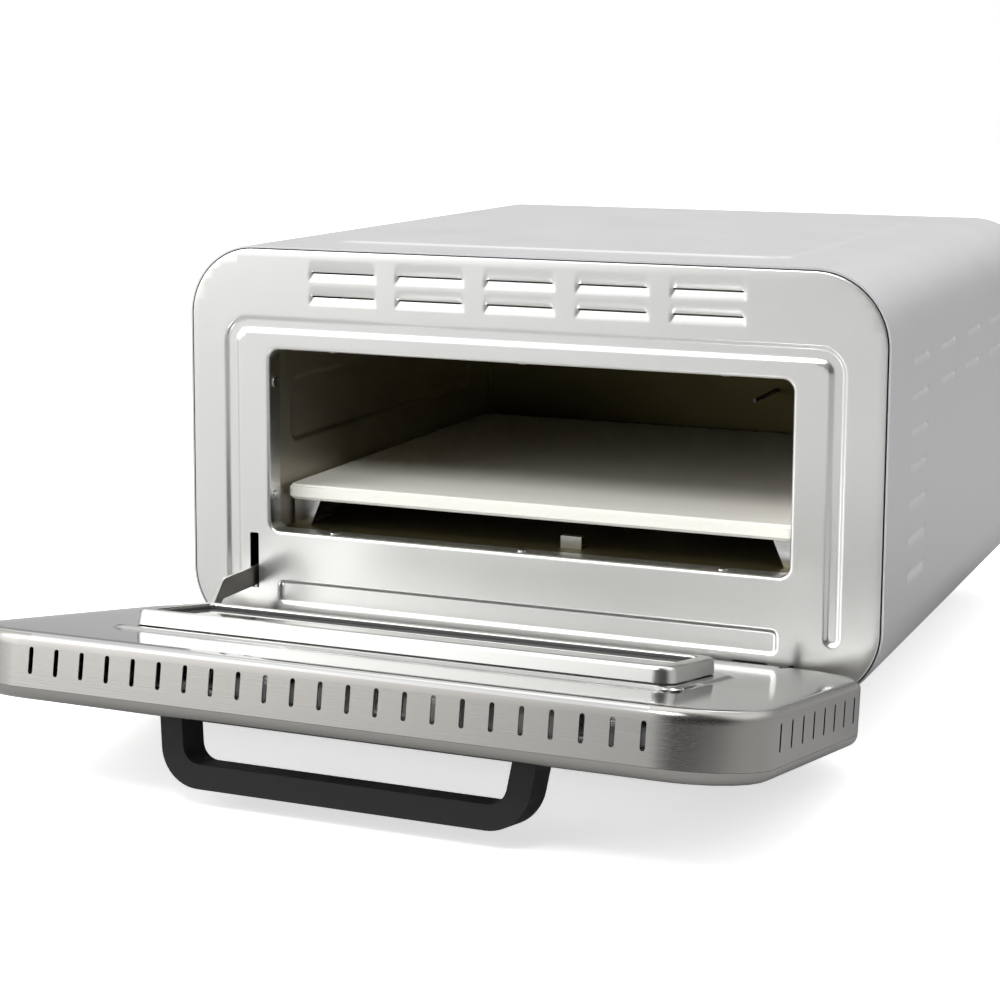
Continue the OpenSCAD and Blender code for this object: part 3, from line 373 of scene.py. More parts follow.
def add_bevel(piece, width, angle):
    bevel = piece.modifiers.new("soft_edges", "BEVEL")
    bevel.width, bevel.segments = width * MM, 2
    bevel.limit_method, bevel.angle_limit = "ANGLE", math.radians(angle)
    bevel.harden_normals = True


print("bench ready")

# %% [markdown]
# Most inner pieces have the right shape in the solids. Their meshes are loose triangles, so a copy is
# merged, its flat faces are joined, and its edges over 35 degrees are marked sharp. A thin bevel then
# gives each edge the small bright line that a real edge has.

# %% Dressed copies of solids
pieces = {}
SHARP = 35


def settle(piece, name, *cad, slot, body=None):
    """Registers a finished piece: what it stands for, what it rides on and its finish."""
    body = body or body_of[cad[0]]
    if cad:
        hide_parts(*cad)
    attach(piece, body)
    if not piece.data.materials:
        piece.data.materials.append(finish[slot])
    pieces[name] = piece


def merged_copy(cad, name):
    mesh = nodes[cad].data.copy()
    mesh.name = name
    work = bmesh.new()
    work.from_mesh(mesh)
    bmesh.ops.remove_doubles(work, verts=work.verts, dist=2e-6)
    bmesh.ops.dissolve_limit(work, angle_limit=math.radians(0.6), verts=work.verts, edges=work.edges)
    work.to_mesh(mesh)
    work.free()
    mesh.materials.clear()
    for layer in list(mesh.attributes):
        if layer.name == "custom_normal":
            mesh.attributes.remove(layer)
    mesh.shade_smooth()
    mesh.set_sharp_from_angle(angle=math.radians(SHARP))
    return placed(name, mesh)


def dressed(cad, bevel):
    name = "dressed_" + cad
    piece = merged_copy(cad, name)
    if bevel:
        add_bevel(piece, bevel, 40)
    settle(piece, name, cad, slot=slot_of[cad])


slot_of = {s["node"]: s["material_slot"] for s in frame["record"]["subparts"]}
print("slots", sorted(set(slot_of.values())))

# %% [markdown]
# Rolled steel has a grain: fine scratches along one direction that change its gloss and tilt its surface a
# little. One node group makes it for every steel here. It stretches noise along the grain's direction, and
# puts out a colour, a roughness and a height. It also adds the slow cloudiness of handled metal, and a
# second group does the same with fine speckle for the matt finishes.

# %% Node groups for grain and handling


def new_group(name, inputs, outputs):
    group = bpy.data.node_groups.new(name, "ShaderNodeTree")
    for label, kind, value in inputs:
        socket = group.interface.new_socket(label, in_out="INPUT", socket_type=kind)
        socket.default_value = value
    for label, kind in outputs:
        group.interface.new_socket(label, in_out="OUTPUT", socket_type=kind)
    return group, group.nodes.new("NodeGroupInput"), group.nodes.new("NodeGroupOutput")


def feed(tree, socket, value):
    """Links an output to the socket, or writes a constant there."""
    if hasattr(value, "is_output"):
        tree.links.new(value, socket)
    else:
        socket.default_value = value


def math_node(tree, operation, *values):
    node = tree.nodes.new("ShaderNodeMath")
    node.operation = operation
    for k, value in enumerate(values):
        feed(tree, node.inputs[k], value)
    return node.outputs[0]


def noise(tree, vector, scale, detail, rough):
    node = tree.nodes.new("ShaderNodeTexNoise")
    for label, value in (("Vector", vector), ("Scale", scale), ("Detail", detail), ("Roughness", rough)):
        feed(tree, node.inputs[label], value)
    return node.outputs[0]


def scaled(tree, vector, factor):
    node = tree.nodes.new("ShaderNodeVectorMath")
    node.operation = "MULTIPLY"
    feed(tree, node.inputs[0], vector)
    feed(tree, node.inputs[1], factor)
    return node.outputs[0]


def tinted(tree, colour, amount):
    """The colour, lighter or darker by a value around 0."""
    node = tree.nodes.new("ShaderNodeMix")
    node.data_type, node.blend_type = "RGBA", "MULTIPLY"
    node.inputs["Factor"].default_value = 1.0
    tree.links.new(colour, node.inputs["A"])
    level = tree.nodes.new("ShaderNodeCombineColor")
    lifted = math_node(tree, "ADD", amount, 1.0)
    for k in range(3):
        tree.links.new(lifted, level.inputs[k])
    tree.links.new(level.outputs[0], node.inputs["B"])
    return node.outputs["Result"]


OUTPUTS = [("Colour", "NodeSocketColor"), ("Roughness", "NodeSocketFloat"), ("Height", "NodeSocketFloat")]


def vary(group, got, put, fine, amount, clouds, tone, gloss):
    """Fine and slow changes around 0 go into the colour and the roughness, the fine ones into the height."""
    parts = [math_node(group, "MULTIPLY", math_node(group, "SUBTRACT", source, 0.5), got.outputs[label])
             for source, label in ((fine, amount), (clouds, "Clouds"))]
    both = math_node(group, "ADD", *parts)
    toned, glossed = (math_node(group, "MULTIPLY", both, share) for share in (tone, gloss))
    group.links.new(tinted(group, got.outputs["Colour"], toned), put.inputs["Colour"])
    group.links.new(math_node(group, "ADD", got.outputs["Roughness"], glossed), put.inputs["Roughness"])
    group.links.new(fine, put.inputs["Height"])


def make_grain():
    group, got, put = new_group("steel_grain", [
        ("Colour", "NodeSocketColor", (0.8, 0.8, 0.8, 1)),
        ("Along", "NodeSocketVector", (30.0, 3000.0, 3000.0)),
        ("Roughness", "NodeSocketFloat", 0.3), ("Streaks", "NodeSocketFloat", 0.1),
        ("Clouds", "NodeSocketFloat", 0.05)], OUTPUTS)
    place = group.nodes.new("ShaderNodeTexCoord").outputs["Object"]
    streaks = noise(group, scaled(group, place, got.outputs["Along"]), 1.0, 3.0, 0.6)
    vary(group, got, put, streaks, "Streaks", noise(group, place, 14.0, 3.0, 0.55), 0.7, 1.0)
    return group


def make_speckle():
    group, got, put = new_group("fine_speckle", [
        ("Colour", "NodeSocketColor", (0.8, 0.8, 0.8, 1)), ("Grain size", "NodeSocketFloat", 900.0),
        ("Roughness", "NodeSocketFloat", 0.5), ("Speckle", "NodeSocketFloat", 0.1),
        ("Clouds", "NodeSocketFloat", 0.1)], OUTPUTS)
    place = group.nodes.new("ShaderNodeTexCoord").outputs["Object"]
    specks = noise(group, place, got.outputs["Grain size"], 4.0, 0.7)
    vary(group, got, put, specks, "Speckle", noise(group, place, 18.0, 4.0, 0.6), 1.0, 0.5)
    return group


GRAIN, SPECKLE = make_grain(), make_speckle()
print("groups", GRAIN.name, SPECKLE.name)

# %% [markdown]
# Each finish is one material that uses a group with its own numbers. Steel is a metal with no other
# layer, so only its colour, roughness and bump differ. Constant values such as the metal amount are
# written on the shader itself.

# %% The finishes


def material(name, group, values, bump=0.0, **constants):
    made = bpy.data.materials.new(name)
    made.use_nodes = True
    tree = made.node_tree
    shader = tree.nodes["Principled BSDF"]
    source = tree.nodes.new("ShaderNodeGroup")
    source.node_tree = group
    for label, value in values.items():
        source.inputs[label].default_value = value
    tree.links.new(source.outputs["Colour"], shader.inputs["Base Color"])
    tree.links.new(source.outputs["Roughness"], shader.inputs["Roughness"])
    if bump:
        node = tree.nodes.new("ShaderNodeBump")
        node.inputs["Strength"].default_value = bump
        node.inputs["Distance"].default_value = 0.0002
        tree.links.new(source.outputs["Height"], node.inputs["Height"])
        tree.links.new(node.outputs["Normal"], shader.inputs["Normal"])
    for label, value in constants.items():
        shader.inputs[label.replace("_", " ")].default_value = value
    return made


def steel(name, colour, rough, along=(30.0, 3000.0, 3000.0), streaks=0.1, clouds=0.05, bump=0.05):
    return material(name, GRAIN, {"Colour": (*colour, 1), "Along": along, "Roughness": rough,
                                  "Streaks": streaks, "Clouds": clouds}, bump, Metallic=1.0)


def matt(name, colour, rough, size=900.0, speckle=0.1, clouds=0.08, bump=0.1, **constants):
    return material(name, SPECKLE, {"Colour": (*colour, 1), "Grain size": size, "Roughness": rough,
                                    "Speckle": speckle, "Clouds": clouds}, bump, **constants)


finish = {
    "casing_steel": steel("casing_steel", (0.70, 0.70, 0.71), 0.36, (2500.0, 18.0, 2500.0), 0.10, 0.05, 0.06),
    "front_steel": steel("front_steel", (0.82, 0.82, 0.80), 0.30, (1200.0, 1200.0, 1200.0), 0.06, 0.05, 0.04),
    "door_steel": steel("door_steel", (0.37, 0.36, 0.34), 0.23, (14.0, 2600.0, 2600.0), 0.22, 0.06, 0.12),
    "polished_steel": steel("polished_steel", (0.47, 0.47, 0.465), 0.10, (25.0, 1500.0, 1500.0),
                            0.03, 0.04, 0.01),
    "box_steel": steel("box_steel", (0.66, 0.66, 0.64), 0.24, (500.0, 500.0, 500.0), 0.05, 0.04, 0.02),
    # A near-black finish that paints the shade on the hidden inner side of every sheet, seen through slits
    # and slots.
    "inner_painted_shade": steel("inner_painted_shade", (0.025, 0.025, 0.025), 0.6, (200.0, 200.0, 200.0), 0.1, 0.1, 0.0),
    "zinc_sheet": steel("zinc_sheet", (0.62, 0.63, 0.64), 0.38, (220.0, 220.0, 220.0), 0.18, 0.10, 0.03),
    "cavity_steel": steel("cavity_steel", (0.66, 0.62, 0.54), 0.42, (160.0, 160.0, 160.0), 0.16, 0.14, 0.03),
    # A dark finish that paints the shade deep inside the cavity onto the liner's top, back and floor.
    "cavity_painted_shade": steel("cavity_painted_shade", (0.15, 0.13, 0.06), 0.5, (160.0, 160.0, 160.0), 0.16, 0.14, 0.03),
    "bright_steel": steel("bright_steel", (0.72, 0.72, 0.72), 0.24, (400.0, 400.0, 400.0), 0.08, 0.05, 0.02),
    "arm_steel": steel("arm_steel", (0.42, 0.41, 0.385), 0.34, (400.0, 30.0, 400.0), 0.12, 0.08, 0.04),
    "heater_steel": steel("heater_steel", (0.20, 0.19, 0.18), 0.45, (600.0, 60.0, 600.0), 0.2, 0.15, 0.05),
    "foot_rubber": matt("foot_rubber", (0.035, 0.035, 0.035), 0.75),
    "seal_rubber": matt("seal_rubber", (0.06, 0.06, 0.06), 0.7),
    "wool": matt("wool", (0.80, 0.74, 0.55), 0.95, 260.0, 0.45, 0.25, 0.9),
    "stone": matt("stone", (0.94, 0.925, 0.86), 0.62, 700.0, 0.10, 0.06, 0.12),
    "white_ceramic": matt("white_ceramic", (0.86, 0.85, 0.81), 0.45, 500.0, 0.05, 0.05, 0.05),
    "wire_sleeve": matt("wire_sleeve", (0.55, 0.08, 0.05), 0.7, 1400.0, 0.35, 0.1, 0.4),
    "black_plastic": matt("black_plastic", (0.016, 0.0155, 0.015), 0.48, 1600.0, 0.25, 0.1, 0.12,
                          Specular_IOR_Level=0.2),
    "control_plastic": matt("control_plastic", (0.42, 0.42, 0.40), 0.5),
    "board_green": matt("board_green", (0.03, 0.16, 0.07), 0.4),
    "lens_plastic": matt("lens_plastic", (0.75, 0.07, 0.02), 0.15, 300.0, 0.02, 0.02, 0.0),
    "clear_glass": matt("clear_glass", (0.86, 0.87, 0.86), 0.04, 60.0, 0.0, 0.02, 0.0,
                        Transmission_Weight=0.8, IOR=1.5, Coat_Weight=1.0),
}
print("finishes", len(finish))

# %% [markdown]
# The front plate is the face of the oven. It is one sheet: a channel pressed up both sides and over the
# opening, ten louvres pushed in with a slit along each top edge, a long pressed panel below, and edges
# rolled back at the opening and all round. The louvre rows share one function of height and width.

# %% The front plate
PLATE_W, PLATE_H, PLATE_R = 456.0, 254.4, 44.2
OPEN_W, OPEN_H, OPEN_Z = 346.0, 118.5, 72.0
CHANNEL_END = 38.0
louvre_x = [-120.0, -60.0, 0.0, 60.0, 120.0]
louvre_top = [241.3, 226.2]
LOUVRE_L, LOUVRE_H, LOUVRE_D, SLIT = 48.0, 6.8, 1.3, 1.0
CHANNEL_X, CHANNEL_UP, CHANNEL_W = 21.0, 10.5, 11.0
RECESS_W, RECESS_H, RECESS_Z = 334.0, 16.5, 24.0
EAR_X, ARM_X, ARM_W, ARM_LOW, ARM_H = 176, -184.5, 6.3, 33.4, 36.4


def channel_distance(x, z, *_):
    w, top = OPEN_W + 2 * CHANNEL_X + CHANNEL_W, OPEN_Z + OPEN_H + CHANNEL_UP + CHANNEL_W / 2
    line = abs(rounded(x, z, 0, CHANNEL_END, w, 2 * (top - CHANNEL_END), 12)) - CHANNEL_W / 2
    foot = np.hypot(abs(x) - w / 2, z - CHANNEL_END) - CHANNEL_W / 2
    return np.where(z > CHANNEL_END, line, foot)


def louvre_depth(u, v, cu, top, length, height, depth):
    """A flap that sinks towards its top edge, with sloped ends."""
    up = np.clip((v - (top - height)) / height, 0, 1)
    ends = np.clip((length / 2 - abs(u - cu)) / 4.5, 0, 1)
    inside = (v <= top + 1e-6) & (v >= top - height - 0.01) & (abs(u - cu) <= length / 2 + 0.01)
    up = up * up * (1.6 - 0.6 * up)
    ends = ends * ends * (3 - 2 * ends)
    return np.where(inside, depth * np.minimum(up, ends), 0)


def plate_pressings(x, z):
    deep = 1.6 * soft(channel_distance(x, z) + 0.2, 2.6)
    deep = deep + 1.6 * soft(rounded(x, z, 0, RECESS_Z + RECESS_H / 2, RECESS_W, RECESS_H, 4.5), 2.6)
    for top in louvre_top:
        for cx in louvre_x:
            deep = deep + louvre_depth(x, z, cx, top, LOUVRE_L, LOUVRE_H, LOUVRE_D)
    return deep


fine_x = [(-208, -193, 0.75), (193, 208, 0.75), (-180, -158, 1.0), (158, 180, 1.0), (-190, -180, 1.0)]
fine_x += [(c + s * LOUVRE_L / 2 - 5.5, c + s * LOUVRE_L / 2 + 5.5, 0.9) for c in louvre_x for s in (-1, 1)]
fine_z = [(198, 213, 0.75), (22, 42, 0.75), (66, 78, 1.1), (184, 196, 1.1), (12, 22.5, 0.9)]
fine_z += [(t - LOUVRE_H - 0.5, t - SLIT, 0.62) for t in louvre_top]
fine_z += [(t - SLIT, t, 0.4) for t in louvre_top]
sheet = Sheet(lines(-228.5, 228.5, 5.5, *fine_x), lines(0, 255, 5.5, *fine_z))


def plate_edge(x, z, *_):
    return -rounded(x, z, 0, 127.5, PLATE_W - 2, PLATE_H - 2, PLATE_R - 1)


def plate_opening(x, z, *_):
    return rounded(x, z, 0, OPEN_Z + OPEN_H / 2, OPEN_W + 4, OPEN_H + 4, 9)


sheet.cut(plate_edge)
sheet.cut(plate_opening)
for top in louvre_top:
    for cx in louvre_x:
        sheet.cut(lambda x, z, *_: rounded(x, z, cx, top - SLIT / 2, LOUVRE_L - 4, SLIT, 0.3))
sheet.cut(lambda x, z, *_: rounded(x, z, ARM_X, ARM_LOW + ARM_H / 2, ARM_W, ARM_H, 0.8))
for side in (-1, 1):
    sheet.cut(lambda x, z, *_: rounded(x, z, side * EAR_X, 10, 3.6, 19, 0.5))
    sheet.cut(lambda x, z, *_: rounded(x, z, side * 150, 16.5, 24, 6, 2.9))
sheet.press(plate_pressings)
sheet.roll(plate_edge, 1.0, 12.0, marks=(7.0,))
sheet.roll(plate_opening, 2.0, 15.0, marks=(7.0,))
front_plate = sheet.make("front_plate_sheet", on_plate, towards(0.0, -1.0, 0.0), thick=1.2)
front_plate = joined("front_plate_sheet", [front_plate], "front_steel", "inner_painted_shade")
settle(front_plate, "front_plate_sheet", "front_plate", slot="front_steel")
print("front plate faces", len(front_plate.data.polygons))

# %% [markdown]
# The casing is one long sheet bent round the oven, so it is drawn flat: one direction runs round the
# casing and the other runs back. A place function bends it. That way its side louvres and the raised
# field on its top use the same functions as the front plate.

# %% The casing
side_cols = [84.0 + 79.5 * k for k in range(4)]
side_tops = [196.0 + LOUVRE_H / 2 - 22.0 * k for k in range(7)]
SIDE_D, SIDE_SLIT = 2.8, 0.5


def height_to_s(z):
    """Where height z on the right side lies along the girth."""
    return stops[2] + (z - (BODY_FOOT + BODY_R))


side_louvres = [(height_to_s(t), c) for k, t in enumerate(side_tops)
                for c in (side_cols if k < 2 else side_cols[:1])]
FIELD_W, FIELD_D = 310.0, 365.0


def casing_pressings(s, y):
    deep = -1.0 * soft(rounded(s, y, girth / 2, BODY_D / 2, FIELD_W, FIELD_D, 14), 4.0)
    for at, col in side_louvres:
        deep = deep + louvre_depth(y, s, col, at, LOUVRE_L, LOUVRE_H, SIDE_D)
        deep = deep + louvre_depth(y, girth - s, col, at, LOUVRE_L, LOUVRE_H, SIDE_D)
    return deep


bends = [(stops[k], stops[k + 1], 4.0) for k in (1, 3, 5, 7)]
fine_s = bends + [(girth / 2 + k * FIELD_W / 2 - 5, girth / 2 + k * FIELD_W / 2 + 5, 1.2) for k in (-1, 1)]
for at in sorted(set(a for a, _ in side_louvres)):
    for base in (at, girth - at):
        low = base - LOUVRE_H if base == at else base
        fine_s += [(low - 0.4, low + LOUVRE_H + 0.4, 1.0)]
        fine_s += [(at - SIDE_SLIT, at, 0.25)] if base == at else [(base, base + SIDE_SLIT, 0.25)]
fine_y = [(BODY_D / 2 + k * FIELD_D / 2 - 5, BODY_D / 2 + k * FIELD_D / 2 + 5, 1.2) for k in (-1, 1)]
fine_y += [(c + k * LOUVRE_L / 2 - 5.0, c + k * LOUVRE_L / 2 + 5.0, 1.25) for c in side_cols for k in (-1, 1)]
sheet = Sheet(lines(140, girth - 140, 10, *fine_s), lines(1, BODY_D, 12, *fine_y))
for at, col in side_louvres:
    for mirror in (False, True):
        sheet.cut(lambda s, y, *_: rounded(girth - s if mirror else s, y, at - SIDE_SLIT / 2, col, SIDE_SLIT,
                                           LOUVRE_L - 6, 0.2))
sheet.press(casing_pressings)
casing_middle = np.array([0.0, 0.0, (FOOT_H + BODY_H / 2) * MM])
casing = sheet.make("casing_sheet", around_casing, lambda m: m * (1.0, 0.0, 1.0) - casing_middle, thick=1.2)

FLANGE_Y = 458.8
flange = Sheet(lines(-229, 229, 12), lines(BODY_FOOT, BODY_FOOT + BODY_H, 10))
half_up = BODY_FOOT + BODY_H / 2
flange.cut(lambda x, z, *_: -rounded(x, z, 0, half_up, BODY_W - 2.2, BODY_H - 2.2, BODY_R - 1.1))
flange.cut(lambda x, z, *_: rounded(x, z, 0, half_up, BODY_W - 24, BODY_H - 24, BODY_R - 12))
flange.cut(lambda x, z, *_: rounded(x, z, 0, BODY_FOOT, 280, 40, 1))
flange.press(lambda x, z: 0 * x + FLANGE_Y)
rear = flange.make("rear_flange", on_plate, towards(0.0, 1.0, 0.0), thick=1.2)

casing = joined("casing_sheet", [casing, rear], "casing_steel", "inner_painted_shade")
settle(casing, "casing_sheet", "outer_wrap", slot="casing_steel")
print("casing faces", len(casing.data.polygons))

# %% [markdown]
# The door's inner side is a deep drawn pan: a polished face that turns over a soft radius into brushed
# walls. The walls carry rows of vent slots. Drawn as a sheet, the face's edge is rolled over the radius
# and down, and the slots are cut into the wall where it is flat.

# %% The door's pan
DOOR_W, DOOR_H, DOOR_R, DOOR_T = 460.0, 263.0, 46.0, 37.0
PAN_R, SKIN_R, SEAM = 5.0, 7.0, 30.0
slot_xs = [16.0 * (k - 11) for k in range(23)]
slot_ups = [DOOR_H / 2 + 22.0 * (k - 3.5) for k in range(8)]
SLOT_W, SLOT_TOP, SLOT_L = 2.8, 7.5, 15.0
WIN_W, WIN_H, WIN_MID = 327.0, 88.0, 139.0


def door_edge(x, up, *_):
    return -rounded(x, up, 0, DOOR_H / 2, DOOR_W - 2 * PAN_R, DOOR_H - 2 * PAN_R, DOOR_R - PAN_R)


def wall_slots(x, up, deep):
    best = np.full_like(x, 50.0)
    on_top = (up > DOOR_H - 0.6) & (deep > PAN_R - 0.1)
    on_side = (abs(x) > DOOR_W / 2 - 0.6) & (deep > PAN_R - 0.1)
    for on_wall, along, middles in ((on_top, x, slot_xs), (on_side, up, slot_ups)):
        for c in middles:
            slot = rounded(along, deep, c, SLOT_TOP + SLOT_L / 2, SLOT_W, SLOT_L, 1.38)
            best = np.where(on_wall, np.minimum(best, slot), best)
    return best


slot_marks = lambda c: [(c - 1.4, c + 1.4, 0.7)]
fine_x = [m for c in slot_xs for m in slot_marks(c)]
fine_x += [(s * EAR_X - 2.7, s * EAR_X + 2.7, 0.9) for s in (-1, 1)]
fine_x += [(s * 170 - 3, s * 170 + 3, 1.0) for s in (-1, 1)] + [(-188.5, -180.5, 0.8)]
fine_up = [m for c in slot_ups for m in slot_marks(c)] + [(82, 89, 1.0), (189, 196, 1.0), (5, 16, 1.2)]
pan = Sheet(lines(-230, 230, 7, *fine_x), lines(0, DOOR_H, 7, *fine_up))
pan.cut(door_edge)
pan.cut(lambda x, up, *_: rounded(x, up, 0, WIN_MID, WIN_W - 16, WIN_H - 16, 6))
pan.cut(lambda x, up, *_: rounded(x, up, ARM_X, 50.9, ARM_W, 21, 1.2))
for side in (-1, 1):
    pan.cut(lambda x, up, *_: rounded(x, up, side * EAR_X, 0, 5.4, 28, 1.5))
pan.press(lambda x, up: -1.6 * soft(rounded(x, up, 0, WIN_MID, WIN_W + 16, WIN_H + 22, 10), 3.0))
slot_rows = [SLOT_TOP + d for d in (0, 0.35, 0.7, 1.4, 3.5)] + [15.0]
slot_rows += [SLOT_TOP + SLOT_L - d for d in (3.5, 1.4, 0.7, 0.35, 0)]
pan.roll(door_edge, PAN_R, SEAM - 0.15, marks=slot_rows + [26.0], steps=6)
pan.cut(wall_slots)
door_middle = on_door(np.array([0.0]), np.array([DOOR_H / 2]), np.array([20.0]))[0]
door_pan = pan.make("door_pan", on_door, lambda m: m - door_middle, thick=1.1)
normals, middles, _ = face_facts(door_pan.data)
inner_way = door_way(0.0, -1.0)
on_wall = (normals @ inner_way < 0.9).astype(np.int32)
middle_local = np.abs(middles[:, 0]) < (WIN_W / 2 + 14) * MM
on_wall[middle_local & (normals @ inner_way > 0.3)] = 0
door_pan.data.polygons.foreach_set("material_index", on_wall)
door_pan = joined("door_pan", [door_pan], "polished_steel", "door_steel", "inner_painted_shade")
settle(door_pan, "door_pan", "door_inner_panel", slot="polished_steel")
print("door pan faces", len(door_pan.data.polygons), "wall faces", int(on_wall.sum()))

# %% [markdown]
# The door's outer skin closes the pan. Its edge is rolled over a wider radius and meets the pan at a
# thin seam, behind which a lip goes into the pan. Three holes take the dials and two the lamps.

# %% The door's skin
DIAL_UP = 46.0


def skin_edge(x, up, *_):
    return -rounded(x, up, 0, DOOR_H / 2, DOOR_W - 2 * SKIN_R, DOOR_H - 2 * SKIN_R, DOOR_R - SKIN_R)


skin_x = [(-86, -74, 1.5), (-6, 6, 1.5), (74, 86, 1.5), (-45, -35, 1.5), (35, 45, 1.5)]
skin = Sheet(lines(-230, 230, 8, *skin_x), lines(0, DOOR_H, 8, (40, 52, 1.5)))
skin_window = lambda x, up, *_: rounded(x, up, 0, WIN_MID, WIN_W - 24, WIN_H + 1, 9)
skin.cut(skin_edge)
skin.cut(skin_window)
for cx, hole in ((-80.0, 4.0), (0.0, 4.0), (80.0, 4.0), (-40.0, 3.1), (40.0, 3.1)):
    skin.cut(lambda x, up, *_: np.hypot(x - cx, up - DIAL_UP) - hole)
skin.roll(skin_window, 1.6, 1.7, steps=4)
skin.roll(skin_edge, SKIN_R, SKIN_R - 0.1, steps=7)
lip_edge = lambda x, up, *_: -rounded(x, up, 0, DOOR_H / 2, DOOR_W - 4.4, DOOR_H - 4.4, DOOR_R - 2.2)
lip = Sheet(lines(-230, 230, 5), lines(0, DOOR_H, 5))
lip.cut(lip_edge)
lip.cut(lambda x, up, *_: rounded(x, up, 0, DOOR_H / 2, DOOR_W - 30, DOOR_H - 30, DOOR_R - 15))
lip.press(lambda x, up: 0 * x + 5.9)
lip.roll(lip_edge, 0.6, 6.0, steps=2)
skin.add(lip)
door_skin = skin.make("door_skin_sheet", lambda x, up, deep: on_door(x, up, DOOR_T - deep),
                      lambda m: m - door_middle, thick=1.1)
door_skin = joined("door_skin_sheet", [door_skin], "door_steel", "inner_painted_shade")
settle(door_skin, "door_skin_sheet", "door_skin", slot="door_steel")
print("door skin faces", len(door_skin.data.polygons))

# %% [markdown]
# The window box enters the opening when the door shuts. It is a shallow pressed ring: its wall leans a
# little and flares at the foot, and both of its top edges are rolled.

# %% The window box
FRAME_OUT, STEP_OUT, LIP_W = 11.0, 1.6, 10.0
box_edge = lambda x, up, *_: -rounded(x, up, 0, WIN_MID, WIN_W - 8, WIN_H - 8, 6.5)
box_hole = lambda x, up, *_: rounded(x, up, 0, WIN_MID, WIN_W - 2 * LIP_W + 3, WIN_H - 2 * LIP_W + 3, 6.5)
box = Sheet(lines(-165, 165, 10, (-165, -146, 1.5), (146, 165, 1.5)),
            lines(95, 183, 8, (95, 111, 1.5), (167, 183, 1.5)))
box.cut(box_edge)
box.cut(box_hole)
box.roll(box_hole, 1.5, 2.4, steps=4)
box.roll(box_edge, 2.5, FRAME_OUT - STEP_OUT - 0.6, flare=0.7, steps=5)
window_box = box.make("window_box", lambda x, up, deep: on_door(x, up, deep - FRAME_OUT),
                      towards(*inner_way), thick=1.0)
window_box = joined("window_box", [window_box], "box_steel", "inner_painted_shade")
settle(window_box, "window_box", "window_frame", slot="front_steel")
print("window box faces", len(window_box.data.polygons))

# %% [markdown]
# The liner's side walls have a long field pressed outwards, with round corners, as the photograph shows
# on the left wall.

# %% The liner's side walls
CAV_X = (Vector(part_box("liner_top")[1]) / MM).x
floor_z = Vector(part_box("liner_floor")[1]).z / MM - PLATE_Z / MM
roof_z = Vector(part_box("liner_top")[0]).z / MM - PLATE_Z / MM
walls = []
for side in (-1, 1):
    wall = Sheet(lines(3, 370, 12, (28, 46, 1.2), (318, 336, 1.2)),
                 lines(floor_z, roof_z, 8, *[(floor_z + k, floor_z + k + 12, 1.0) for k in (50, 90)]))
    wall.press(lambda y, z: 1.6 * soft(rounded(y, z, 182, floor_z + 76, 298, 44, 9), 3.0))
    place = lambda y, z, out, side=side: on_plate(side * (CAV_X + out), z, y)
    walls.append(wall.make(f"liner_wall_{side}", place, towards(-1.0 * side, 0.0, 0.0), thick=0.8))
liner_walls = joined("liner_walls", walls, "cavity_steel", "inner_painted_shade")
settle(liner_walls, "liner_walls", "liner_sides", slot="cavity_steel")
print("liner walls faces", len(liner_walls.data.polygons))

# %% [markdown]
# The remaining solids keep their shape. They get merged copies with softened edges, each width in
# millimetres. The liner's top, back and floor get a dark finish that paints the shade inside the cavity,
# and the floor clip and the temperature probes get darker finishes than their slots' own.

# %% Dressed solids
edges = {
    "pizza_stone": 1.2, "handle": 2.0, "hinge_ears": 0.3, "door_arm": 0.4, "stone_supports": 0.2, "feet": 0.8,
    "back_panel": 0.0, "base_plate": 0.0, "liner_top": 0.0, "liner_floor": 0.0, "liner_back": 0.0,
    "insulation": 2.0, "upper_element": 0.0, "lower_element": 0.0, "element_bushes": 0.4,
    "element_clips": 0.2, "floor_clip": 0.15,
    "temperature_probes": 0.2, "thermal_cutout": 0.4, "terminal_block": 0.6, "wiring_loom": 0.0,
    "cable_gland": 0.5, "inner_glass": 0.5, "outer_glass": 0.5, "glass_seal": 0.4, "glass_clips": 0.2,
    "hinge_leaves": 0.3, "hinge_pins": 0.4, "arm_bracket": 0.3, "arm_pin": 0.3, "heat_controls": 0.8,
    "timer_control": 0.8, "control_board": 0.2, "board_cover": 0.6, "indicator_lenses": 0.5,
    "upper_heat_knob": 0.8, "lower_heat_knob": 0.8, "timer_knob": 0.8, "upper_heat_shaft": 0.3,
    "lower_heat_shaft": 0.3, "timer_shaft": 0.3, "liner_rivets": 0.3, "ear_studs": 0.3,
    "handle_screws": 0.4,
}
for cad, width in edges.items():
    dressed(cad, width)
# The liner's top, back and floor take the finish that paints the shade inside the cavity.
for cad, darker in (("liner_top", "cavity_painted_shade"), ("liner_back", "cavity_painted_shade"),
                    ("liner_floor", "cavity_painted_shade"), ("floor_clip", "arm_steel"),
                    ("temperature_probes", "heater_steel")):
    pieces["dressed_" + cad].data.materials[0] = finish[darker]
print("dressed", len(edges))

# %% [markdown]
# Screws, knob ribs and dial marks repeat, so Geometry Nodes makes them. One tree puts a domed head with a
# cross recess on each point it gets. The other sets bars in a ring, turned step by step. Each result is
# turned into a plain mesh, so nothing is left to evaluate later.

# %% Trees for what repeats


def geometry_tree(name, **inputs):
    tree = bpy.data.node_groups.new(name, "GeometryNodeTree")
    tree.interface.new_socket("Geometry", in_out="INPUT", socket_type="NodeSocketGeometry")
    for label, kind in inputs.items():
        tree.interface.new_socket(label, in_out="INPUT", socket_type="NodeSocket" + kind)
    tree.interface.new_socket("Geometry", in_out="OUTPUT", socket_type="NodeSocketGeometry")
    return tree, tree.nodes.new("NodeGroupInput").outputs, tree.nodes.new("NodeGroupOutput").inputs[0]


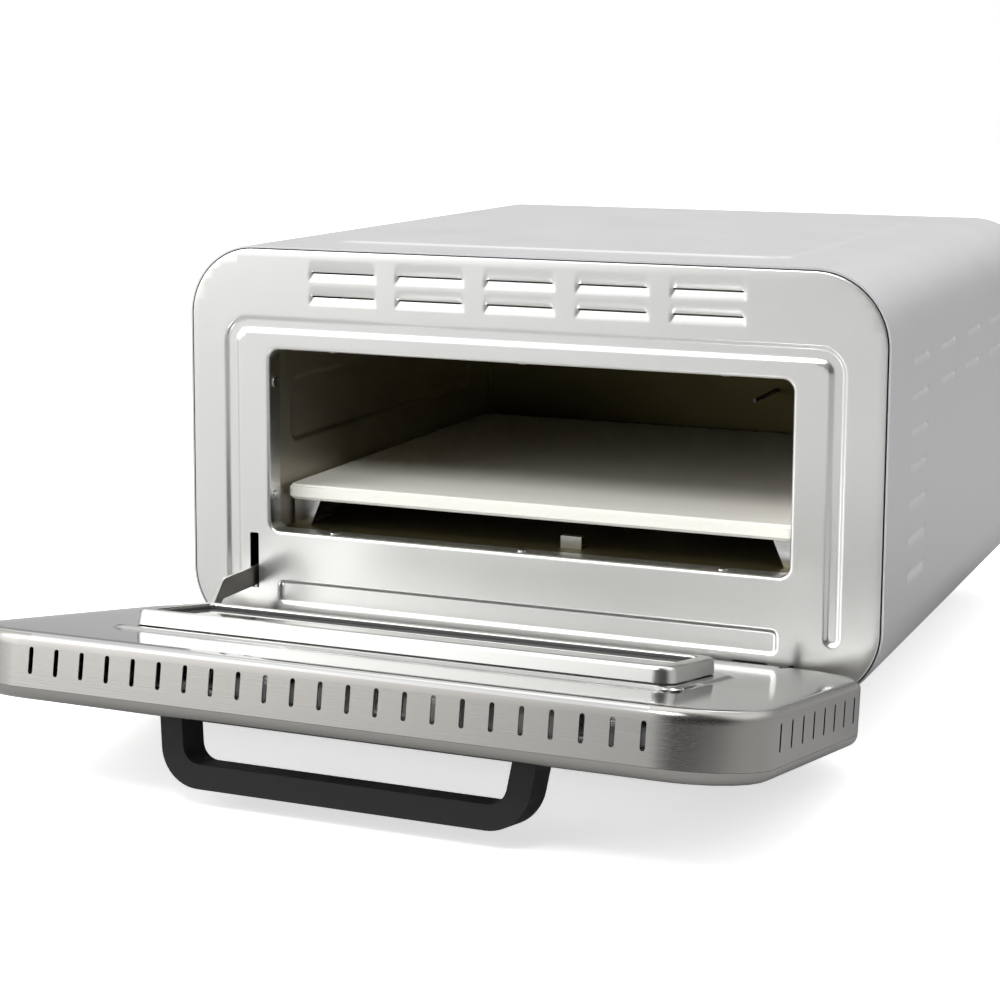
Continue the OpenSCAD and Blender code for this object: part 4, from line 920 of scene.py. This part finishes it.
def step(tree, kind, **inputs):
    """Adds a node, fills its named inputs with values or links, and returns its first output."""
    node = tree.nodes.new(kind)
    for label, value in inputs.items():
        for one in value if isinstance(value, list) else [value]:
            feed(tree, node.inputs[label.replace("_", " ")], one)
    return node.outputs[0]


def repeated(tree, shape, points, turn):
    copies = step(tree, "GeometryNodeInstanceOnPoints", Points=points, Instance=shape, Rotation=turn)
    return step(tree, "GeometryNodeRealizeInstances", Geometry=copies)


def screw_tree():
    tree, got, out = geometry_tree("screw_heads", Radius="Float", Height="Float", Turn="Vector",
                                   Finish="Material")
    squash = math_node(tree, "DIVIDE", got["Height"], got["Radius"])
    flat = step(tree, "ShaderNodeCombineXYZ", X=1.0, Y=1.0, Z=squash)
    ball = step(tree, "GeometryNodeMeshUVSphere", Segments=20, Rings=10, Radius=got["Radius"])
    dome = step(tree, "GeometryNodeTransform", Geometry=ball, Scale=flat)
    long, thin = (math_node(tree, "MULTIPLY", got["Radius"], k) for k in (1.15, 0.26))
    sizes = [step(tree, "ShaderNodeCombineXYZ", X=x, Y=y, Z=got["Height"])
             for x, y in ((long, thin), (thin, long))]
    arms = [step(tree, "GeometryNodeMeshCube", Size=size) for size in sizes]
    lifted = step(tree, "ShaderNodeCombineXYZ", X=0.0, Y=0.0, Z=got["Height"])
    cross = [step(tree, "GeometryNodeTransform", Geometry=arm, Translation=lifted) for arm in arms]
    head = step(tree, "GeometryNodeMeshBoolean", Mesh_1=dome, Mesh_2=cross)
    real = repeated(tree, head, got["Geometry"], got["Turn"])
    tree.links.new(step(tree, "GeometryNodeSetMaterial", Geometry=real, Material=got["Finish"]), out)
    return tree


def ring_tree():
    tree, got, out = geometry_tree("ring_of_bars", Count="Int", Step="Float", First="Float", Size="Vector",
                                   Reach="Vector", Turn="Vector", Finish="Material")
    bar = step(tree, "GeometryNodeTransform", Geometry=step(tree, "GeometryNodeMeshCube", Size=got["Size"]),
               Translation=got["Reach"])
    angle = math_node(tree, "MULTIPLY_ADD", step(tree, "GeometryNodeInputIndex"), got["Step"], got["First"])
    turn = step(tree, "ShaderNodeCombineXYZ", X=0.0, Y=0.0, Z=angle)
    real = repeated(tree, bar, step(tree, "GeometryNodePoints", Count=got["Count"]), turn)
    plain = repeated(tree, real, got["Geometry"], got["Turn"])
    tree.links.new(step(tree, "GeometryNodeSetMaterial", Geometry=plain, Material=got["Finish"]), out)
    return tree


def grow(name, tree, points, **values):
    """The tree's result over these points, as one plain mesh."""
    mesh = bpy.data.meshes.new(name)
    mesh.from_pydata([tuple(p) for p in points], [], [])
    seed = placed(name, mesh)
    nodes_modifier = seed.modifiers.new("nodes", "NODES")
    nodes_modifier.node_group = tree
    for item in tree.interface.items_tree:
        if item.in_out == "INPUT" and item.name in values:
            nodes_modifier[item.identifier] = values[item.name]
    bpy.context.view_layer.update()
    made = bpy.data.meshes.new_from_object(seed.evaluated_get(bpy.context.evaluated_depsgraph_get()))
    bpy.data.objects.remove(seed)
    made.shade_smooth()
    made.set_sharp_from_angle(angle=math.radians(SHARP))
    return placed(name, made)


SCREWS, RING = screw_tree(), ring_tree()
print("trees", SCREWS.name, RING.name)

# %% [markdown]
# Each screw's place is read from its solid: the middle of the head, seen along the screw's own direction.

# %% Screw heads, knob ribs and dial marks
HEAD = 2.0


def heads_of(cad, axis):
    """The seat of each screw's head on its axis."""
    points = np.array([v.co for v in nodes[cad].data.vertices])
    flat = points - np.outer(points @ axis, axis)
    left, places = np.ones(len(points), bool), []
    while left.any():
        near = left & (np.linalg.norm(flat - flat[left][0], axis=1) < 0.012)
        middle = (flat[near].max(axis=0) + flat[near].min(axis=0)) / 2
        places.append(middle + axis * ((points[near] @ axis).max() - HEAD * MM))
        left &= ~near
    return places


def facing(axis):
    return Vector((0, 0, 1)).rotation_difference(Vector(axis)).to_euler()


door_up = door_way(1.0, 0.0)
heads = {"back_screws": (np.array([0.0, 1.0, 0.0]), 3.6), "base_screws": (np.array([0.0, 0.0, -1.0]), 3.6),
         "foot_screws": (np.array([0.0, 0.0, -1.0]), 3.6), "door_screws": (-door_up, 2.6)}
for cad, (axis, radius) in heads.items():
    places = heads_of(cad, axis)
    made = grow(cad + "_heads", SCREWS, places, Radius=radius * MM, Height=HEAD * MM, Turn=facing(axis),
                Finish=finish["bright_steel"])
    settle(made, cad + "_heads", cad, slot="bright_steel")
    print(cad, len(places), "heads")

OUT_TURN = Matrix((Vector((1, 0, 0)), Vector(door_up), Vector(-inner_way))).transposed().to_euler()
dials = {"upper_heat": (-80.0, 11, 27.0), "lower_heat": (0.0, 11, 27.0), "timer": (80.0, 13, 25.0)}
for name, (x, count, apart) in dials.items():
    spot = lambda deep: [on_door(np.array([x]), np.array([DIAL_UP]), np.array([deep]))[0]]
    ribs = grow(name + "_ribs", RING, spot(42.6), Count=30, Step=math.radians(12), First=math.radians(6),
                Size=(1.2 * MM, 1.2 * MM, 7.2 * MM), Reach=(15.1 * MM, 0, 3.9 * MM), Turn=OUT_TURN,
                Finish=finish["black_plastic"])
    settle(ribs, name + "_ribs", body=body_of[name + "_knob"], slot="black_plastic")
    line = grow(name + "_pointer", RING, spot(51.0), Count=1, Step=0.0, First=math.radians(90),
                Size=(5.0 * MM, 1.1 * MM, 0.3 * MM), Reach=(11.5 * MM, 0, -0.85 * MM), Turn=OUT_TURN,
                Finish=finish["white_ceramic"])
    settle(line, name + "_pointer", body=body_of[name + "_knob"], slot="white_ceramic")
    marks = grow(name + "_marks", RING, spot(37.0), Count=count, Step=math.radians(-apart),
                 First=math.radians(90), Size=(3.4 * MM, 0.7 * MM, 0.08 * MM),
                 Reach=(21.5 * MM, 0, 0.02 * MM), Turn=OUT_TURN, Finish=finish["seal_rubber"])
    settle(marks, name + "_marks", body="door", slot="seal_rubber")
print("dials", len(dials))

# %% [markdown]
# A pale floor and a bright surround stand in for the studio. The floor looks white to the camera and
# through glass, is darker in reflections, and still takes the oven's shadow. In front of the oven the
# surround is far brighter on the left than on the right, and behind it the right is the brighter side.

# %% Floor, surround and lamps
floor_mesh = bpy.data.meshes.new("studio_floor")
floor_mesh.from_pydata([(-9, -9, 0), (9, -9, 0), (9, 9, 0), (-9, 9, 0)], [], [(0, 1, 2, 3)])
floor = placed("studio_floor", floor_mesh)
FLOOR_GLOW, GLOSSY_GLOW, FLOOR_TONE, GLOSSY_DROP = 0.62, 0.06, 0.9, -0.5
paint = bpy.data.materials.new("studio_floor")
paint.use_nodes = True
tree = paint.node_tree
shader = tree.nodes["Principled BSDF"]
shader.inputs["Roughness"].default_value = 0.9
shader.inputs["Specular IOR Level"].default_value = 0.1
rays = tree.nodes.new("ShaderNodeLightPath")
seen = math_node(tree, "MAXIMUM", rays.outputs["Is Camera Ray"], rays.outputs["Is Transmission Ray"])
glossy = math_node(tree, "MULTIPLY", rays.outputs["Is Glossy Ray"], GLOSSY_GLOW)
glow = math_node(tree, "MULTIPLY_ADD", seen, FLOOR_GLOW, glossy)
shader.inputs["Emission Color"].default_value = (1, 1, 1, 1)
tree.links.new(glow, shader.inputs["Emission Strength"])
tone = tree.nodes.new("ShaderNodeCombineColor")
floor_tone = math_node(tree, "MULTIPLY_ADD", rays.outputs["Is Glossy Ray"], GLOSSY_DROP, FLOOR_TONE)
for k in range(3):
    tree.links.new(floor_tone, tone.inputs[k])
tree.links.new(tone.outputs[0], shader.inputs["Base Color"])
floor.data.materials.append(paint)
floor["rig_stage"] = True

world = bpy.data.worlds.new("studio")
bpy.context.scene.world = world
world.use_nodes = True
tree = world.node_tree
back = tree.nodes["Background"]
way = tree.nodes.new("ShaderNodeTexCoord").outputs["Generated"]
parts = tree.nodes.new("ShaderNodeSeparateXYZ")
tree.links.new(way, parts.inputs[0])


def eased(tree, value, a, b, at_a, at_b):
    """Goes smoothly from at_a, where value is a, to at_b, where value is b."""
    node = tree.nodes.new("ShaderNodeMapRange")
    node.interpolation_type = "SMOOTHSTEP"
    tree.links.new(value, node.inputs["Value"])
    for label, number in (("From Min", a), ("From Max", b), ("To Min", at_a), ("To Max", at_b)):
        node.inputs[label].default_value = number
    return node.outputs[0]


FRONT_LEFT, FRONT_RIGHT, BACK_LEFT, BACK_RIGHT, OVERHEAD = 2.4, 0.015, 0.38, 0.66, 0.85
front = eased(tree, parts.outputs["X"], -0.62, -0.05, FRONT_LEFT, FRONT_RIGHT)
behind = eased(tree, parts.outputs["X"], 0.1, 0.6, BACK_LEFT, BACK_RIGHT)
is_front = eased(tree, parts.outputs["Y"], -0.5, 0.3, 1.0, 0.0)
around = math_node(tree, "ADD", math_node(tree, "MULTIPLY", front, is_front),
                   math_node(tree, "MULTIPLY", math_node(tree, "SUBTRACT", 1.0, is_front), behind))
above = eased(tree, parts.outputs["Z"], 0.08, 0.55, 0.0, OVERHEAD)
less_in_front = math_node(tree, "MULTIPLY_ADD", is_front, -0.85, 1.0)
strength = math_node(tree, "MULTIPLY_ADD", above, less_in_front, around)
rays = tree.nodes.new("ShaderNodeLightPath")
mix = tree.nodes.new("ShaderNodeMix")
mix.data_type = "FLOAT"
tree.links.new(rays.outputs["Is Camera Ray"], mix.inputs["Factor"])
tree.links.new(strength, mix.inputs[2])
mix.inputs[3].default_value = 1.0
tree.links.new(mix.outputs[0], back.inputs["Strength"])
back.inputs["Color"].default_value = (1, 1, 1, 1)


def lamp(name, place, target, size, power):
    light = bpy.data.lights.new(name, "AREA")
    light.shape, light.size, light.energy = "SQUARE", size, power
    made = placed(name, light)
    made.location = place
    made.rotation_euler = (Vector(target) - Vector(place)).to_track_quat("-Z", "Y").to_euler()


lamp("key_left", (-1.7, -1.3, 1.5), (0, 0, 0.15), 1.2, 12)
lamp("top_soft", (-0.2, 0.3, 2.4), (0, 0.1, 0.2), 1.8, 9)
lamp("front_fill", (0.0, -1.15, 1.25), (0.05, 0.0, 0.12), 0.45, 8.5)
bpy.context.scene.view_settings.view_transform = "Standard"
print("studio ready")

# %% Sizes and finish
low, high = (Vector(p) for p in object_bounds())
